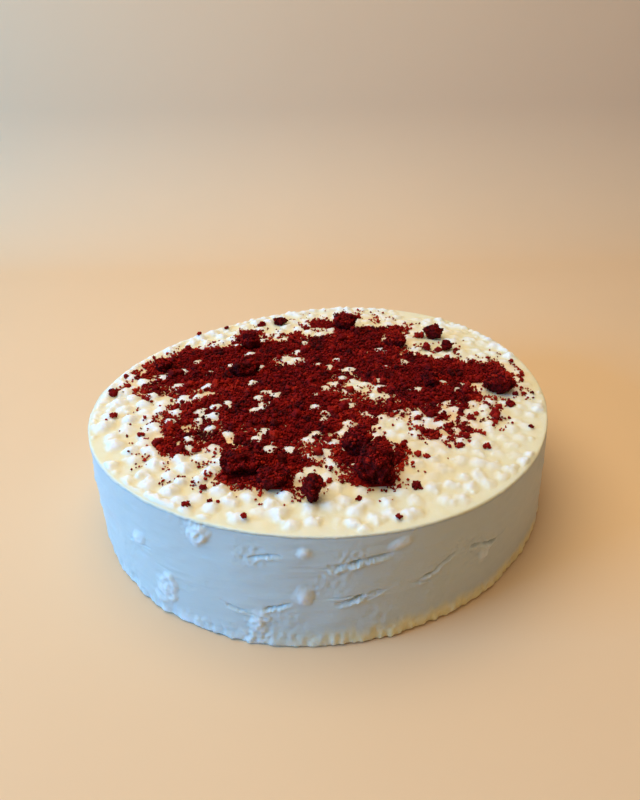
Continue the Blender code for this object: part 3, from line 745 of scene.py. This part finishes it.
def build_top(form, look):
    """Icing of the top and rim, swelling up into soft peaks: a disc grid closed below."""
    peaks = BarePeaks()
    bm = bmesh.new()
    bmesh.ops.create_grid(bm, x_segments=form.top_cells, y_segments=form.top_cells, size=1.0)
    lit_tip_layer = bm.verts.layers.float.new("tint")
    stain_layer = bm.verts.layers.float.new("stain")
    for corner in bm.verts:
        spot = Vector(disc_place(corner.co.x, corner.co.y))
        spot *= wavy(TOP_RADIUS, TOP_WAVES, math.atan2(spot.y, spot.x)) - TOP_INSET
        rise = peaks.rise(spot.x, spot.y)
        corner.co = (*(TOP_MIDDLE + spot), TOP_LEVEL + ground_swell(spot.x, spot.y) + rise)
        # Painted light: the higher the icing stands, the more it takes the pale bluish lit colour.
        corner[lit_tip_layer] = min(1.0, rise / LIT_TIP_RISE)
        corner[stain_layer] = stain(spot.x, spot.y)
    edges = [edge for edge in bm.edges if edge.is_boundary]
    for row in rim_profile() + [(CAKE_HEIGHT - RIM_LIP, 0.0, 1.0)]:
        edges = draw_ring(bm, edges, row)
        for corner in {corner for edge in edges for corner in edge.verts}:
            if corner.co.z < RELIEF_TOP:
                push_out(corner, side_marks())
    for edge in edges:
        edge.smooth = False
    edges = draw_ring(bm, edges, (CAKE_HEIGHT - 1.1 * RIM_LIP, RIM_LIP, 1.0))
    edges = draw_ring(bm, edges, (CAKE_HEIGHT - RIM_FLAT, RIM_FLAT, 0.0))
    bmesh.ops.edgeloop_fill(bm, edges=edges)
    mesh = mesh_from(bm, "top_icing")
    finish_piece("top_icing", mesh, peak_material(look), ["frosted_cake"])


def build_side(form, look):
    """Icing of the side and foot: a ring drawn down to the table, with its marks."""
    marks = side_marks()
    tears, dabs = marks[:2]
    below = CAKE_HEIGHT - RIM_CRISP
    hidden = CAKE_HEIGHT - 0.7 * RIM_LIP
    rows = [(hidden, 0.5 * RIM_FLAT, 1.0), (hidden, 0.0004, 1.0),
            (CAKE_HEIGHT - RIM_LIP, 0.0, 1.0)]
    rows += [(below * (1.0 - step / form.side_rows), 0.0, 0.0)
             for step in range(1, form.side_rows + 1)]
    bm = bmesh.new()
    bmesh.ops.create_circle(bm, cap_ends=True, segments=form.side_columns,
                            radius=TOP_RADIUS - 2.0 * RIM_FLAT)
    top = Vector((*TOP_MIDDLE, CAKE_HEIGHT - RIM_FLAT))
    bmesh.ops.translate(bm, verts=bm.verts, vec=top)
    edges = list(bm.edges)
    for row in rows:
        edges = draw_ring(bm, edges, row)
    bmesh.ops.edgeloop_fill(bm, edges=edges)
    refine(bm, lambda spot: 0.0005 < spot.z < RELIEF_TOP and near_mark(spot, tears + dabs), 2)
    refine(bm, lambda spot: 0.0002 < spot.z < 0.0075, 1)
    fresh_layer = bm.verts.layers.float.new("fresh")
    for corner in bm.verts:
        if corner.co.z < RELIEF_TOP:
            corner[fresh_layer] = freshness(bearing_of(corner.co), corner.co.z, dabs)
            push_out(corner, marks, FOOT_TUCK * max(0.0, 1.0 - corner.co.z / FOOT_TUCK_HEIGHT))
    mesh = mesh_from(bm, "frosting")
    finish_piece("frosting", mesh, frosting_material(look), ["frosted_cake"])


# --------------------------------------------------------------- cream peaks
def peak_share(x):
    """0 at the top's left edge, 1 at its right."""
    return min(1.0, max(0.0, 0.5 + 0.5 * x / TOP_RADIUS))


def peak_spacing(x):
    """Distance between peaks, closer towards the right."""
    return PEAK_SPACING_LEFT + (PEAK_SPACING_RIGHT - PEAK_SPACING_LEFT) * peak_share(x)


def peak_places():
    """Peak centres over the whole top, never closer than their spacing."""
    draw = random.Random(11)
    step = PEAK_SPACING_RIGHT * 0.4
    reach = int(1.1 * TOP_RADIUS / step)
    tries = []
    for row in range(-reach, reach + 1):
        for column in range(-reach, reach + 1):
            tries.append(((column + draw.random()) * step, (row + draw.random()) * step))
    draw.shuffle(tries)
    places = []
    for x, y in tries:
        if top_room(x, y) < PEAK_FREE_RIM:
            continue
        apart = PEAK_APART * peak_spacing(x)
        if all(math.hypot(x - px, y - py) > apart for px, py in places):
            places.append((x, y))
    return places


def lump_discs():
    """Centre and reach of each lump, on the top's own centre."""
    discs = []
    for name in LUMP_NODES:
        low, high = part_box(name)
        middle = 0.5 * (low + high)
        reach = 0.5 * max(high.x - low.x, high.y - low.y)
        discs.append((middle.x - TOP_MIDDLE.x, middle.y - TOP_MIDDLE.y, reach))
    return discs


def peak_list():
    """(x, y, height, foot) of each peak that stands clear of crumbs."""
    draw = random.Random(23)
    discs = lump_discs()
    listed = []
    for x, y in peak_places():
        spacing = peak_spacing(x)
        height = PEAK_HEIGHT_LEFT + (PEAK_HEIGHT_RIGHT - PEAK_HEIGHT_LEFT) * peak_share(x)
        height *= draw.uniform(0.65, 1.3)
        foot = PEAK_FOOT * spacing * draw.uniform(0.95, 1.3)
        bare = draw.random() < lace(x, y)
        if any(math.hypot(x - dx, y - dy) < 0.8 * reach + 0.6 * foot for dx, dy, reach in discs):
            continue
        if bare:
            listed.append((x, y, height * (1.0 - 0.40 * peak_share(x)), foot))
    return listed


def rim_peaks():
    """Low peaks that crowd the edge of the top where the rim is uneven."""
    draw = random.Random(41)
    listed = []
    for step in range(RIM_PEAKS):
        angle = math.tau * (step + draw.uniform(0.0, 1.0)) / RIM_PEAKS
        crowd = ripple(math.cos(angle), math.sin(angle), 3.0, 21.0)
        crowd += 0.5 * math.sin(angle) - 0.35 * math.cos(angle)
        if crowd < draw.uniform(-0.25, 0.25):
            continue
        foot = draw.uniform(0.0018, 0.0034)
        out = wavy(TOP_RADIUS, TOP_WAVES, angle) - foot * draw.uniform(0.9, 1.5) - 0.0002
        listed.append((out * math.cos(angle), out * math.sin(angle),
                       foot * draw.uniform(0.35, 0.70), foot))
    return listed


@functools.cache
def all_peaks():
    """(x, y, height, foot) of the clear peaks, smaller ones beside them and the rim's."""
    draw = random.Random(29)
    listed = []
    for x, y, height, foot in peak_list():
        listed.append((x, y, PEAK_SETTLE * height, foot))
        for extra in range(draw.choice((0, 1, 1, 2, 2))):
            angle = draw.uniform(0.0, math.tau)
            share = draw.uniform(0.35, 0.68)
            away = foot * draw.uniform(0.85, 1.35)
            listed.append((x + away * math.cos(angle), y + away * math.sin(angle),
                           PEAK_SETTLE * height * draw.uniform(0.45, 0.9), foot * share))
    listed = [peak for peak in listed if top_room(peak[0], peak[1]) > 0.0030 + 1.1 * peak[3]]
    return listed + rim_peaks()


class BarePeaks:
    """Finds the cream peaks round a place on the top."""

    def __init__(self):
        self.cells = {}
        for x, y, height, foot in all_peaks():
            self.cells.setdefault(self.cell(x, y), []).append((x, y, foot, height))

    def cell(self, x, y):
        """Cell of the search grid that holds a place."""
        return int(x // PEAK_SPACING_LEFT), int(y // PEAK_SPACING_LEFT)

    def near(self, x, y):
        """(distance over foot radius, height) of the peaks round a place."""
        column, row = self.cell(x, y)
        for cell in range(9):
            key = (column + cell // 3 - 1, row + cell % 3 - 1)
            for px, py, foot, height in self.cells.get(key, ()):
                yield math.hypot(x - px, y - py) / foot, height

    def share(self, x, y):
        """1 in the middle of a bare peak, 0 outside its foot."""
        reach = 0.92 + 0.45 * ripple(x, y, 520.0, 9.0)
        return max([0.0] + [1.0 - away / reach for away, height in self.near(x, y)])

    def rise(self, x, y):
        """How far the icing stands up into the peaks round a place."""
        shift = 0.0011 * ripple(x, y, 260.0, 31.0)
        turn = 0.0011 * ripple(x, y, 260.0, 37.0)
        total = 0.0
        for away, height in self.near(x + shift, y + turn):
            if away < SWELL_REACH:
                total += (height * (1.0 - (away / SWELL_REACH) ** 2) ** 2) ** 2
        rough = 1.0 + 0.30 * ripple(x, y, 480.0, 33.0)
        edge = min(1.0, max(0.0, top_room(x, y) - TOP_INSET) / 0.0014)
        return rough * math.sqrt(total) * edge


# --------------------------------------------------------------- crumb drift
def build_heap(look):
    """Ground of the drift: the solid's copy, finer and rough, sunk round bare peaks."""
    bm = node_bmesh("crumb_bed")
    bmesh.ops.subdivide_edges(bm, edges=bm.edges, cuts=3, use_grid_fill=True, smooth=0.0)
    floor = CAKE_HEIGHT + CLEARANCE
    peaks = BarePeaks()
    discs = lump_discs()
    for corner in bm.verts:
        height = corner.co.z - floor
        if height <= HEAP_SKIN:
            corner.co.z = HEAP_SUNK
            continue
        x, y = corner.co.x - TOP_MIDDLE.x, corner.co.y - TOP_MIDDLE.y
        rough = ripple(x, y, 420.0, corner.co.z * 420.0)
        rough += 0.6 * ripple(x, y, 900.0, corner.co.z * 900.0)
        share = step_up(cover(x, y), 0.35, 0.95) * step_up(drift_depth(x, y), 0.0, 0.07)
        share *= 1.0 - step_up(peaks.share(x, y), 0.0, 0.35)
        for dx, dy, reach in discs:
            share = max(share, 1.0 - step_up(math.hypot(x - dx, y - dy) / reach, 0.75, 1.0))
        thick = HEAP_THICK * height + HEAP_ROUGH * rough
        corner.co.z = HEAP_SUNK + share * (floor - HEAP_SUNK + thick)
    mesh = mesh_from(bm, "crumb_heap")
    finish_piece("crumb_heap", mesh, sponge_material("heap_sponge", look, 0.12),
                 ["crumb_bed"])


def build_lumps(look):
    """Torn lumps of sponge over their solids' shapes."""
    material = sponge_material("lump_sponge", look, 0.42)
    for number, (name, node) in enumerate(zip(LUMP_PIECES, LUMP_NODES), start=1):
        bm = node_bmesh(node)
        cuts = 5 if len(bm.faces) < 200 else 3
        bmesh.ops.subdivide_edges(bm, edges=bm.edges, cuts=cuts, use_grid_fill=True, smooth=0.9)
        low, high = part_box(node)
        middle = 0.5 * (low + high)
        bm.normal_update()
        moved = []
        for corner in bm.verts:
            spot = corner.co
            crag = noise.noise(spot * 210.0 + Vector((number, 0.0, 0.0)))
            grain = noise.noise(spot * 520.0)
            fine = noise.noise(spot * 1300.0)
            pit = max(0.0, noise.noise(spot * 380.0 + Vector((0.0, number, 0.0))) - 0.15)
            out = -0.0010 + 0.0024 * crag + 0.0010 * grain + 0.0004 * fine - 0.0022 * pit
            moved.append(spot + corner.normal * out)
        for corner, place in zip(bm.verts, moved):
            corner.co = [min(b, max(a, value)) for a, b, value in zip(low, high, place)]
            rise = (corner.co.z - low.z) / (high.z - low.z)
            corner.co.z -= (low.z - LUMP_SEAT) * (1.0 - step_up(rise, 0.0, 0.6))
            slim = LUMP_FOOT_SLIM + (1.0 - LUMP_FOOT_SLIM) * step_up(rise, 0.0, 0.5)
            corner.co.xy = middle.xy + (corner.co.xy - middle.xy) * slim
        finish_piece(name, mesh_from(bm, name), material, [node])


# -------------------------------------------------------------- loose crumbs
def crumb_shapes(detail, roughness, seed):
    """A few rough balls of unit width: 48 faces at detail 0, 20 at 1 and 320 at 3."""
    draw = random.Random(seed)
    shapes = []
    for number in range(CRUMB_SHAPES):
        bm = bmesh.new()
        if detail:
            bmesh.ops.create_icosphere(bm, subdivisions=detail, radius=0.5)
        else:
            bmesh.ops.create_uvsphere(bm, u_segments=6, v_segments=5, radius=0.5)
            bmesh.ops.triangulate(bm, faces=bm.faces)
        stretch = Vector((draw.uniform(0.8, 1.25), draw.uniform(0.7, 1.05),
                          draw.uniform(0.6, 0.95)))
        for corner in bm.verts:
            way = corner.co.normalized()
            swell = noise.noise(way * 1.9 + Vector((number * 3.0, seed, 0.0)))
            swell += 0.7 * noise.noise(way * 4.2 + Vector((seed, number * 3.0, 0.0)))
            corner.co *= 1.0 + roughness * (swell + 0.35 * draw.uniform(-1.0, 1.0))
            corner.co = Vector(a * b for a, b in zip(corner.co, stretch))
        bm.verts.index_update()
        points = np.array([corner.co[:] for corner in bm.verts])
        faces = np.array([[corner.index for corner in face.verts] for face in bm.faces])
        bm.free()
        shapes.append((points, faces))
    return shapes


def random_turns(count, draw):
    """Rotation matrices spread evenly over all turns."""
    quats = draw.normal(size=(count, 4))
    quats /= np.linalg.norm(quats, axis=1, keepdims=True)
    w, x, y, z = quats.T
    rows = [[1 - 2 * (y * y + z * z), 2 * (x * y - z * w), 2 * (x * z + y * w)],
            [2 * (x * y + z * w), 1 - 2 * (x * x + z * z), 2 * (y * z - x * w)],
            [2 * (x * z - y * w), 2 * (y * z + x * w), 1 - 2 * (x * x + y * y)]]
    return np.array(rows).transpose(2, 0, 1)


def scatter_piece(name, crumbs, shapes, material, seed, smooth=True):
    """One joined piece of crumbs, given as their spots, sizes and tints."""
    spots, sizes, tints = crumbs
    draw = np.random.default_rng(seed)
    turns = random_turns(len(spots), draw)
    kinds = draw.integers(0, len(shapes), len(spots))
    all_corners, all_faces, all_tints = [], [], []
    base = 0
    for kind, (points, faces) in enumerate(shapes):
        chosen = np.nonzero(kinds == kind)[0]
        if not len(chosen):
            continue
        placed = np.einsum("nij,pj->npi", turns[chosen], points) * sizes[chosen][:, None, None]
        placed += spots[chosen][:, None, :]
        step = len(points)
        offsets = base + step * np.arange(len(chosen))
        all_corners.append(placed.reshape(-1, 3))
        all_faces.append((faces[None] + offsets[:, None, None]).reshape(-1, 3))
        all_tints.append(np.repeat(tints[chosen], step))
        base += step * len(chosen)
    mesh = mesh_from_arrays(name, np.concatenate(all_corners),
                            np.concatenate(all_faces).tolist(), np.concatenate(all_tints))
    finish_piece(name, mesh, material, ["crumb_bed"], smooth)


class Ground:
    """Finds the uppermost surface under a place."""

    def __init__(self, names):
        depsgraph = bpy.context.evaluated_depsgraph_get()
        self.trees = [(name, BVHTree.FromObject(bpy.data.objects[name], depsgraph))
                      for name in names]

    def top(self, x, y):
        """(height, kind) of the highest hit."""
        best = None
        for name, tree in self.trees:
            hit = tree.ray_cast(Vector((x, y, 0.2)), Vector((0.0, 0.0, -1.0)))[0]
            if hit and (best is None or hit.z > best[0]):
                best = (hit.z, name)
        return best


def crumb_chance(x, y, bare):
    """Chance that a crumb lies at a place, on the drift or strewn round it."""
    covered = cover(x, y)
    depth = max(ellipse_depth(x, y, shape) for shape in DRIFTS)
    strewn = 0.24 * step_up(depth, -0.45, 0.0) + 0.014 * step_up(depth, -1.2, -0.3)
    patch = ripple(x, y, 120.0, 12.0)
    strewn *= step_up(patch, -0.05, 0.5) * 1.6
    clear = 1.0 - 0.95 * step_up(bare, 0.0, 0.22)
    return max(covered, strewn) * clear


def draw_crumbs(ground, peaks, count, sizes, seed, lift):
    """Places for crumbs over the drift, seeded."""
    draw = random.Random(seed)
    spots, widths, tints = [], [], []
    while len(spots) < count:
        angle = draw.uniform(0.0, math.tau)
        distance = 1.06 * TOP_RADIUS * math.sqrt(draw.random())
        x, y = distance * math.cos(angle), distance * math.sin(angle)
        pick = draw.random()
        if top_room(x, y) < CRUMB_FREE_RIM or pick > crumb_chance(x, y, peaks.share(x, y)):
            continue
        hit = ground.top(TOP_MIDDLE.x + x, TOP_MIDDLE.y + y)
        if hit is None:
            continue
        height, kind = hit
        size = sizes[0] + (sizes[1] - sizes[0]) * draw.random() ** 1.6
        if height + size > CAD_BOX[1][2]:
            continue
        up = draw.uniform(*lift) * size
        if kind == "crumb_heap":
            up += draw.random() ** 2 * 0.0010
        spots.append((TOP_MIDDLE.x + x, TOP_MIDDLE.y + y, height + up))
        widths.append(size)
        # Painted shade: crumbs darker where the drift lies deep and dense, brighter at its thin
        # edges.
        deep_shade = step_up(drift_depth(x, y), 0.05, 0.40) * cover(x, y)
        shade = 0.68 - 0.28 * deep_shade + 0.44 * ripple(x, y, 95.0, 20.0)
        shade += 0.55 * ripple(x, y, 330.0, 22.0)
        tints.append(min(1.0, max(0.0, shade + 0.14 * draw.uniform(-1.0, 1.0))))
    return np.array(spots), np.array(widths), np.array(tints)


def loose_clusters(ground):
    """A clump of crumbs at each single crumb of the solids."""
    draw = random.Random(67)
    spots, widths, tints = [], [], []
    for x, y, size in LOOSE_CRUMBS:
        level = ground.top(TOP_MIDDLE.x + x, TOP_MIDDLE.y + y)[0]
        shade = draw.uniform(0.25, 0.75)
        for piece in range(max(4, int(5000.0 * size))):
            share = draw.uniform(0.30, 0.62)
            away = 0.42 * size * math.sqrt(draw.random())
            angle = draw.uniform(0.0, math.tau)
            up = draw.uniform(0.05, 0.55) * size * (1.0 - 1.6 * away / size)
            spots.append((TOP_MIDDLE.x + x + away * math.cos(angle),
                          TOP_MIDDLE.y + y + away * math.sin(angle), level + max(0.0004, up)))
            widths.append(size * share)
            tints.append(min(1.0, max(0.0, shade + 0.2 * draw.uniform(-1.0, 1.0))))
    return np.array(spots), np.array(widths), np.array(tints)


def lump_grains(count, sizes, seed):
    """Places for crumbs that cling to the lumps."""
    draw = random.Random(seed)
    spots, widths, tints = [], [], []
    for name, node in zip(LUMP_PIECES, LUMP_NODES):
        mesh = bpy.data.objects[name].data
        low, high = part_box(node)
        share = (high.x - low.x) * (high.y - low.y)
        wanted = int(count * share / GRAIN_AREA)
        for pick in range(wanted):
            corner = mesh.vertices[draw.randrange(len(mesh.vertices))]
            size = draw.uniform(*sizes)
            place = corner.co - corner.normal * 0.20 * size
            if place.z + 0.7 * size > CAD_BOX[1][2]:
                continue
            spots.append(tuple(place))
            widths.append(size)
            tints.append(min(1.0, max(0.0, draw.gauss(0.22, 0.16))))
    return np.array(spots), np.array(widths), np.array(tints)


def build_crumbs(look):
    """Loose crumbs: chunks, bits, grains, dust and specks, and grains on the lumps."""
    ground = Ground(["top_icing", "frosting", "crumb_heap"] + LUMP_PIECES)
    peaks = BarePeaks()
    material = crumb_material(look)
    dust = crumb_shapes(1, 0.5, 51)
    rough = crumb_shapes(1, 0.55, 52)
    round_bits = crumb_shapes(0, 0.55, 53)
    chunks = crumb_shapes(3, 0.5, 54)
    kinds = (
        ("crumb_chunks", 60, (0.0036, 0.0058), 61, (0.18, 0.42), chunks),
        ("crumb_bits", 900, (0.0020, 0.0036), 62, (0.12, 0.45), round_bits),
        ("crumb_grains", 9800, (0.0010, 0.0021), 63, (0.05, 0.50), rough),
        ("crumb_dust", 9800, (0.0006, 0.0013), 64, (0.1, 0.5), dust),
        ("crumb_specks", 9800, (0.0009, 0.0017), 66, (0.05, 0.6), dust),
    )
    for name, count, sizes, seed, lift, shapes in kinds:
        crumbs = draw_crumbs(ground, peaks, count, sizes, seed, lift)
        scatter_piece(name, crumbs, shapes, material, seed)
    scatter_piece("loose_crumbs", loose_clusters(ground), round_bits, material, 67)
    grains = lump_grains(5200, (0.0008, 0.0020), 65)
    scatter_piece("lump_grains", grains, rough, material, 65, smooth=False)


# --------------------------------------------------------------------- stage
def area_light(name, place, aim, size, power, colour):
    """Soft rectangular light turned to what it lights."""
    data = bpy.data.lights.new(name, "AREA")
    data.shape = "RECTANGLE"
    data.size, data.size_y = size
    data.energy = power
    data.color = colour
    lamp = bpy.data.objects.new(name, data)
    bpy.context.scene.collection.objects.link(lamp)
    lamp.location = place
    lamp.rotation_euler = (Vector(aim) - Vector(place)).to_track_quat("-Z", "Y").to_euler()


def floor_material(look):
    """Matt pale floor, its tone drifting slightly."""
    shader = Shader("pale_floor")
    soft = shader.noise(6.0, 2.0)
    shade = [0.96 * part for part in look.floor_colour]
    colour = shader.blend(soft, look.floor_colour, shade)
    return shader.surface(Base_Color=colour, Roughness=0.66 + soft * 0.08, Specular_IOR_Level=0.2)


def build_floor(form, look):
    """Pale floor swept up behind and before, and plain walls."""
    bm = bmesh.new()
    profile = [Vector((0.0, -form.room_reach, form.wall_height)),
               Vector((0.0, -form.room_reach, 0.0)), Vector((0.0, form.sweep_start, 0.0))]
    for step in range(1, SWEEP_STEPS + 1):
        turn = 0.5 * math.pi * step / SWEEP_STEPS
        profile.append(Vector((0.0, form.sweep_start + form.sweep_round * math.sin(turn),
                               form.sweep_round * (1.0 - math.cos(turn)))))
    profile.append(profile[-1] + Vector((0.0, 0.0, form.wall_height)))
    corners = [bm.verts.new(spot - Vector((form.room_reach, 0.0, 0.0))) for spot in profile]
    line = [bm.edges.new(pair) for pair in zip(corners, corners[1:])]
    drawn = bmesh.ops.extrude_edge_only(bm, edges=line)["geom"]
    moved = [item for item in drawn if isinstance(item, bmesh.types.BMVert)]
    bmesh.ops.translate(bm, verts=moved, vec=(2.0 * form.room_reach, 0.0, 0.0))
    bevelled = [edge for edge in bm.edges if not edge.is_boundary
                and edge.verts[0].co.y < 0.01 - form.room_reach
                and edge.verts[0].co.z + edge.verts[1].co.z < 0.01]
    bmesh.ops.bevel(bm, geom=bevelled, offset=NEAR_CORNER, offset_type="OFFSET", segments=12,
                    profile=0.5, affect="EDGES", material=-1)
    depth = form.room_reach + form.sweep_start + form.sweep_round
    for side in (-1.0, 1.0):
        wall = bmesh.ops.create_grid(bm, x_segments=1, y_segments=1, size=0.5)["verts"]
        bmesh.ops.scale(bm, verts=wall, vec=(form.wall_height, depth, 1.0))
        bmesh.ops.rotate(bm, verts=wall, matrix=Matrix.Rotation(-0.5 * math.pi * side, 3, "Y"))
        bmesh.ops.translate(bm, verts=wall, vec=(side * form.room_reach,
                                                 0.5 * depth - form.room_reach,
                                                 0.5 * form.wall_height))
    mesh = mesh_from(bm, "floor")
    mesh.shade_smooth()
    mesh.materials.append(floor_material(look))
    floor = bpy.data.objects.new("floor", mesh)
    bpy.context.scene.collection.objects.link(floor)


def build_lights(look):
    """Warm light from above, cool light from the left and the room's own."""
    area_light("soft_top", (-0.28, 0.08, 1.0), (0.0, 0.0, 0.05), (1.3, 0.9), look.top_power,
               (1.0, 0.84, 0.56))
    area_light("cool_left", (-1.55, -0.50, 0.50), (0.0, 0.0, 0.03), (0.9, 0.7), look.left_power,
               (0.0, 0.42, 1.0))
    world = bpy.data.worlds.new("room")
    bpy.context.scene.world = world
    world.use_nodes = True
    back = world.node_tree.nodes["Background"]
    back.inputs["Color"].default_value = ROOM_COLOUR
    back.inputs["Strength"].default_value = look.room_light


def build_camera(form):
    """Camera that looks down on the cake from its front."""
    data = bpy.data.cameras.new("camera")
    data.sensor_width = 36.0
    data.lens = form.camera_lens
    data.clip_start = 0.01
    camera = bpy.data.objects.new("camera", data)
    bpy.context.scene.collection.objects.link(camera)
    across, along, up = CAMERA_SPOT
    camera.location = (TOP_MIDDLE.x + across, TOP_MIDDLE.y + along, up)
    pitch = Matrix.Rotation(0.5 * math.pi - form.camera_drop, 4, "X")
    roll = Matrix.Rotation(-form.camera_roll, 4, "Z")
    camera.rotation_euler = (pitch @ roll).to_euler()
    bpy.context.scene.camera = camera


def build_stage(form, look):
    """Floor and walls, lights and camera, with plain colours."""
    build_floor(form, look)
    build_lights(look)
    build_camera(form)
    bpy.context.scene.view_settings.view_transform = "Standard"


# ---------------------------------------------------------------- properties
class CakeForm(bpy.types.PropertyGroup):
    """Fineness of the icing, and the sizes of the stage"""
    top_cells: IntProperty(name="Top cells", description="Cells across the icing's top",
                           default=260, min=20)
    side_columns: IntProperty(name="Side columns", description="Columns round the icing's side",
                              default=720, min=60)
    side_rows: IntProperty(name="Side rows", description="Rows down the icing's side",
                           default=44, min=6)
    sweep_start: FloatProperty(name="Sweep start", description="Where the floor begins to rise",
                               default=0.40, unit="LENGTH")
    sweep_round: FloatProperty(name="Sweep radius", description="Radius of the floor's rise",
                               default=0.16, unit="LENGTH")
    room_reach: FloatProperty(name="Room", description="Distance of the room's other walls",
                              default=2.6, unit="LENGTH")
    wall_height: FloatProperty(name="Wall height", description="Height of the room's walls",
                               default=1.6, unit="LENGTH")
    camera_lens: FloatProperty(name="Lens", description="Camera's focal length",
                               default=28.845, unit="CAMERA")
    camera_drop: FloatProperty(name="Look down", description="Camera's angle below level",
                               default=math.radians(30.2), subtype="ANGLE", unit="ROTATION")
    camera_roll: FloatProperty(name="Roll", description="Camera's roll",
                               default=math.radians(1.02), subtype="ANGLE", unit="ROTATION")


class CakeLook(bpy.types.PropertyGroup):
    """Colours and lights"""
    cream_colour: FloatVectorProperty(name="Cream", description="Colour of the top's cream",
                                      subtype="COLOR", default=(0.775, 0.745, 0.60))
    hollow_colour: FloatVectorProperty(name="Hollows", description="Yellower cream in the hollows",
                                       subtype="COLOR", default=(0.75, 0.685, 0.465))
    # Painted cool light on the peak tips, set against the yellower cream of the hollows.
    lit_tip_colour: FloatVectorProperty(name="Peaks", description="Paler cream of the peaks",
                                     subtype="COLOR", default=(0.74, 0.775, 0.83))
    stain_colour: FloatVectorProperty(name="Stain", description="Cream tinted by red dust",
                                      subtype="COLOR", default=(0.86, 0.54, 0.30))
    # Painted shade and painted cool light: the side's cream set darker and bluer than the top's.
    shaded_side_colour: FloatVectorProperty(name="Side", description="Cooler cream of the side",
                                     subtype="COLOR", default=(0.57, 0.615, 0.59))
    # Painted warm reflection low on the side's right, not a colour of the cream.
    plate_reflection_colour: FloatVectorProperty(name="Foot", description="Buttery cream at the foot",
                                     subtype="COLOR", default=(0.92, 0.78, 0.36))
    dab_colour: FloatVectorProperty(name="Dabs", description="Whiter cream of dabs and foot",
                                    subtype="COLOR", default=(0.80, 0.82, 0.82))
    cream_roughness: FloatProperty(name="Cream roughness", description="Roughness of the frosting",
                                   default=0.46, min=0.0, max=1.0)
    crumb_dark: FloatVectorProperty(name="Dark crumb", description="Darkest crumbs",
                                    subtype="COLOR", default=(0.036, 0.0008, 0.0010))
    crumb_colour: FloatVectorProperty(name="Crumb", description="Usual crumbs",
                                      subtype="COLOR", default=(0.215, 0.0030, 0.0030))
    crumb_bright: FloatVectorProperty(name="Bright crumb", description="Brightest crumbs",
                                      subtype="COLOR", default=(0.400, 0.0180, 0.0060))
    floor_colour: FloatVectorProperty(name="Floor", description="Colour of the floor",
                                      subtype="COLOR", default=(0.74, 0.53, 0.345))
    top_power: FloatProperty(name="Top light", description="Power of the light from above",
                             default=12.4, unit="POWER")
    left_power: FloatProperty(name="Left light", description="Power of the cool light at the left",
                              default=38.0, unit="POWER")
    room_light: FloatProperty(name="Room light", description="Strength of the light all round",
                              default=0.31)


# ----------------------------------------------------------------- operators
class CAKE_OT_frosting(bpy.types.Operator):
    """Ice the cake: its top and rim, then its side and foot"""
    bl_idname = "cake.frosting"
    bl_label = "Frosting"

    def execute(self, context):
        build_top(context.scene.cake_form, context.scene.cake_look)
        build_side(context.scene.cake_form, context.scene.cake_look)
        return {"FINISHED"}


class CAKE_OT_heap(bpy.types.Operator):
    """Lay the ground of the crumb drift"""
    bl_idname = "cake.heap"
    bl_label = "Crumb heap"

    def execute(self, context):
        build_heap(context.scene.cake_look)
        return {"FINISHED"}


class CAKE_OT_lumps(bpy.types.Operator):
    """Set the torn lumps of sponge on the cake"""
    bl_idname = "cake.lumps"
    bl_label = "Crumb lumps"

    def execute(self, context):
        build_lumps(context.scene.cake_look)
        return {"FINISHED"}


class CAKE_OT_crumbs(bpy.types.Operator):
    """Strew the loose crumbs over the top"""
    bl_idname = "cake.crumbs"
    bl_label = "Loose crumbs"

    def execute(self, context):
        build_crumbs(context.scene.cake_look)
        return {"FINISHED"}


class CAKE_OT_stage(bpy.types.Operator):
    """Set up the floor, the lights and the camera"""
    bl_idname = "cake.stage"
    bl_label = "Stage"

    def execute(self, context):
        build_stage(context.scene.cake_form, context.scene.cake_look)
        return {"FINISHED"}


class CAKE_PT_panel(bpy.types.Panel):
    """Sizes, colours and steps of the cake"""
    bl_label = "Red velvet cake"
    bl_idname = "CAKE_PT_panel"
    bl_space_type = "VIEW_3D"
    bl_region_type = "UI"
    bl_category = "Cake"

    def draw(self, context):
        layout = self.layout
        for group in (context.scene.cake_form, context.scene.cake_look):
            for name in group.__annotations__:
                layout.prop(group, name)
        for operator in OPERATORS:
            layout.operator(operator.bl_idname)


OPERATORS = (CAKE_OT_frosting, CAKE_OT_heap, CAKE_OT_lumps, CAKE_OT_crumbs,
             CAKE_OT_stage)
CLASSES = (CakeForm, CakeLook) + OPERATORS + (CAKE_PT_panel,)


def register():
    """Register the classes and hang the settings on the scene."""
    for item in CLASSES:
        bpy.utils.register_class(item)
    bpy.types.Scene.cake_form = PointerProperty(type=CakeForm)
    bpy.types.Scene.cake_look = PointerProperty(type=CakeLook)


def unregister():
    """Take away what register() set up."""
    del bpy.types.Scene.cake_look
    del bpy.types.Scene.cake_form
    for item in reversed(CLASSES):
        bpy.utils.unregister_class(item)


def main():
    """Build every piece and the stage."""
    register()
    bpy.ops.cake.frosting()
    bpy.ops.cake.heap()
    bpy.ops.cake.lumps()
    bpy.ops.cake.crumbs()
    bpy.ops.cake.stage()


if __name__ == "__main__":
    main()
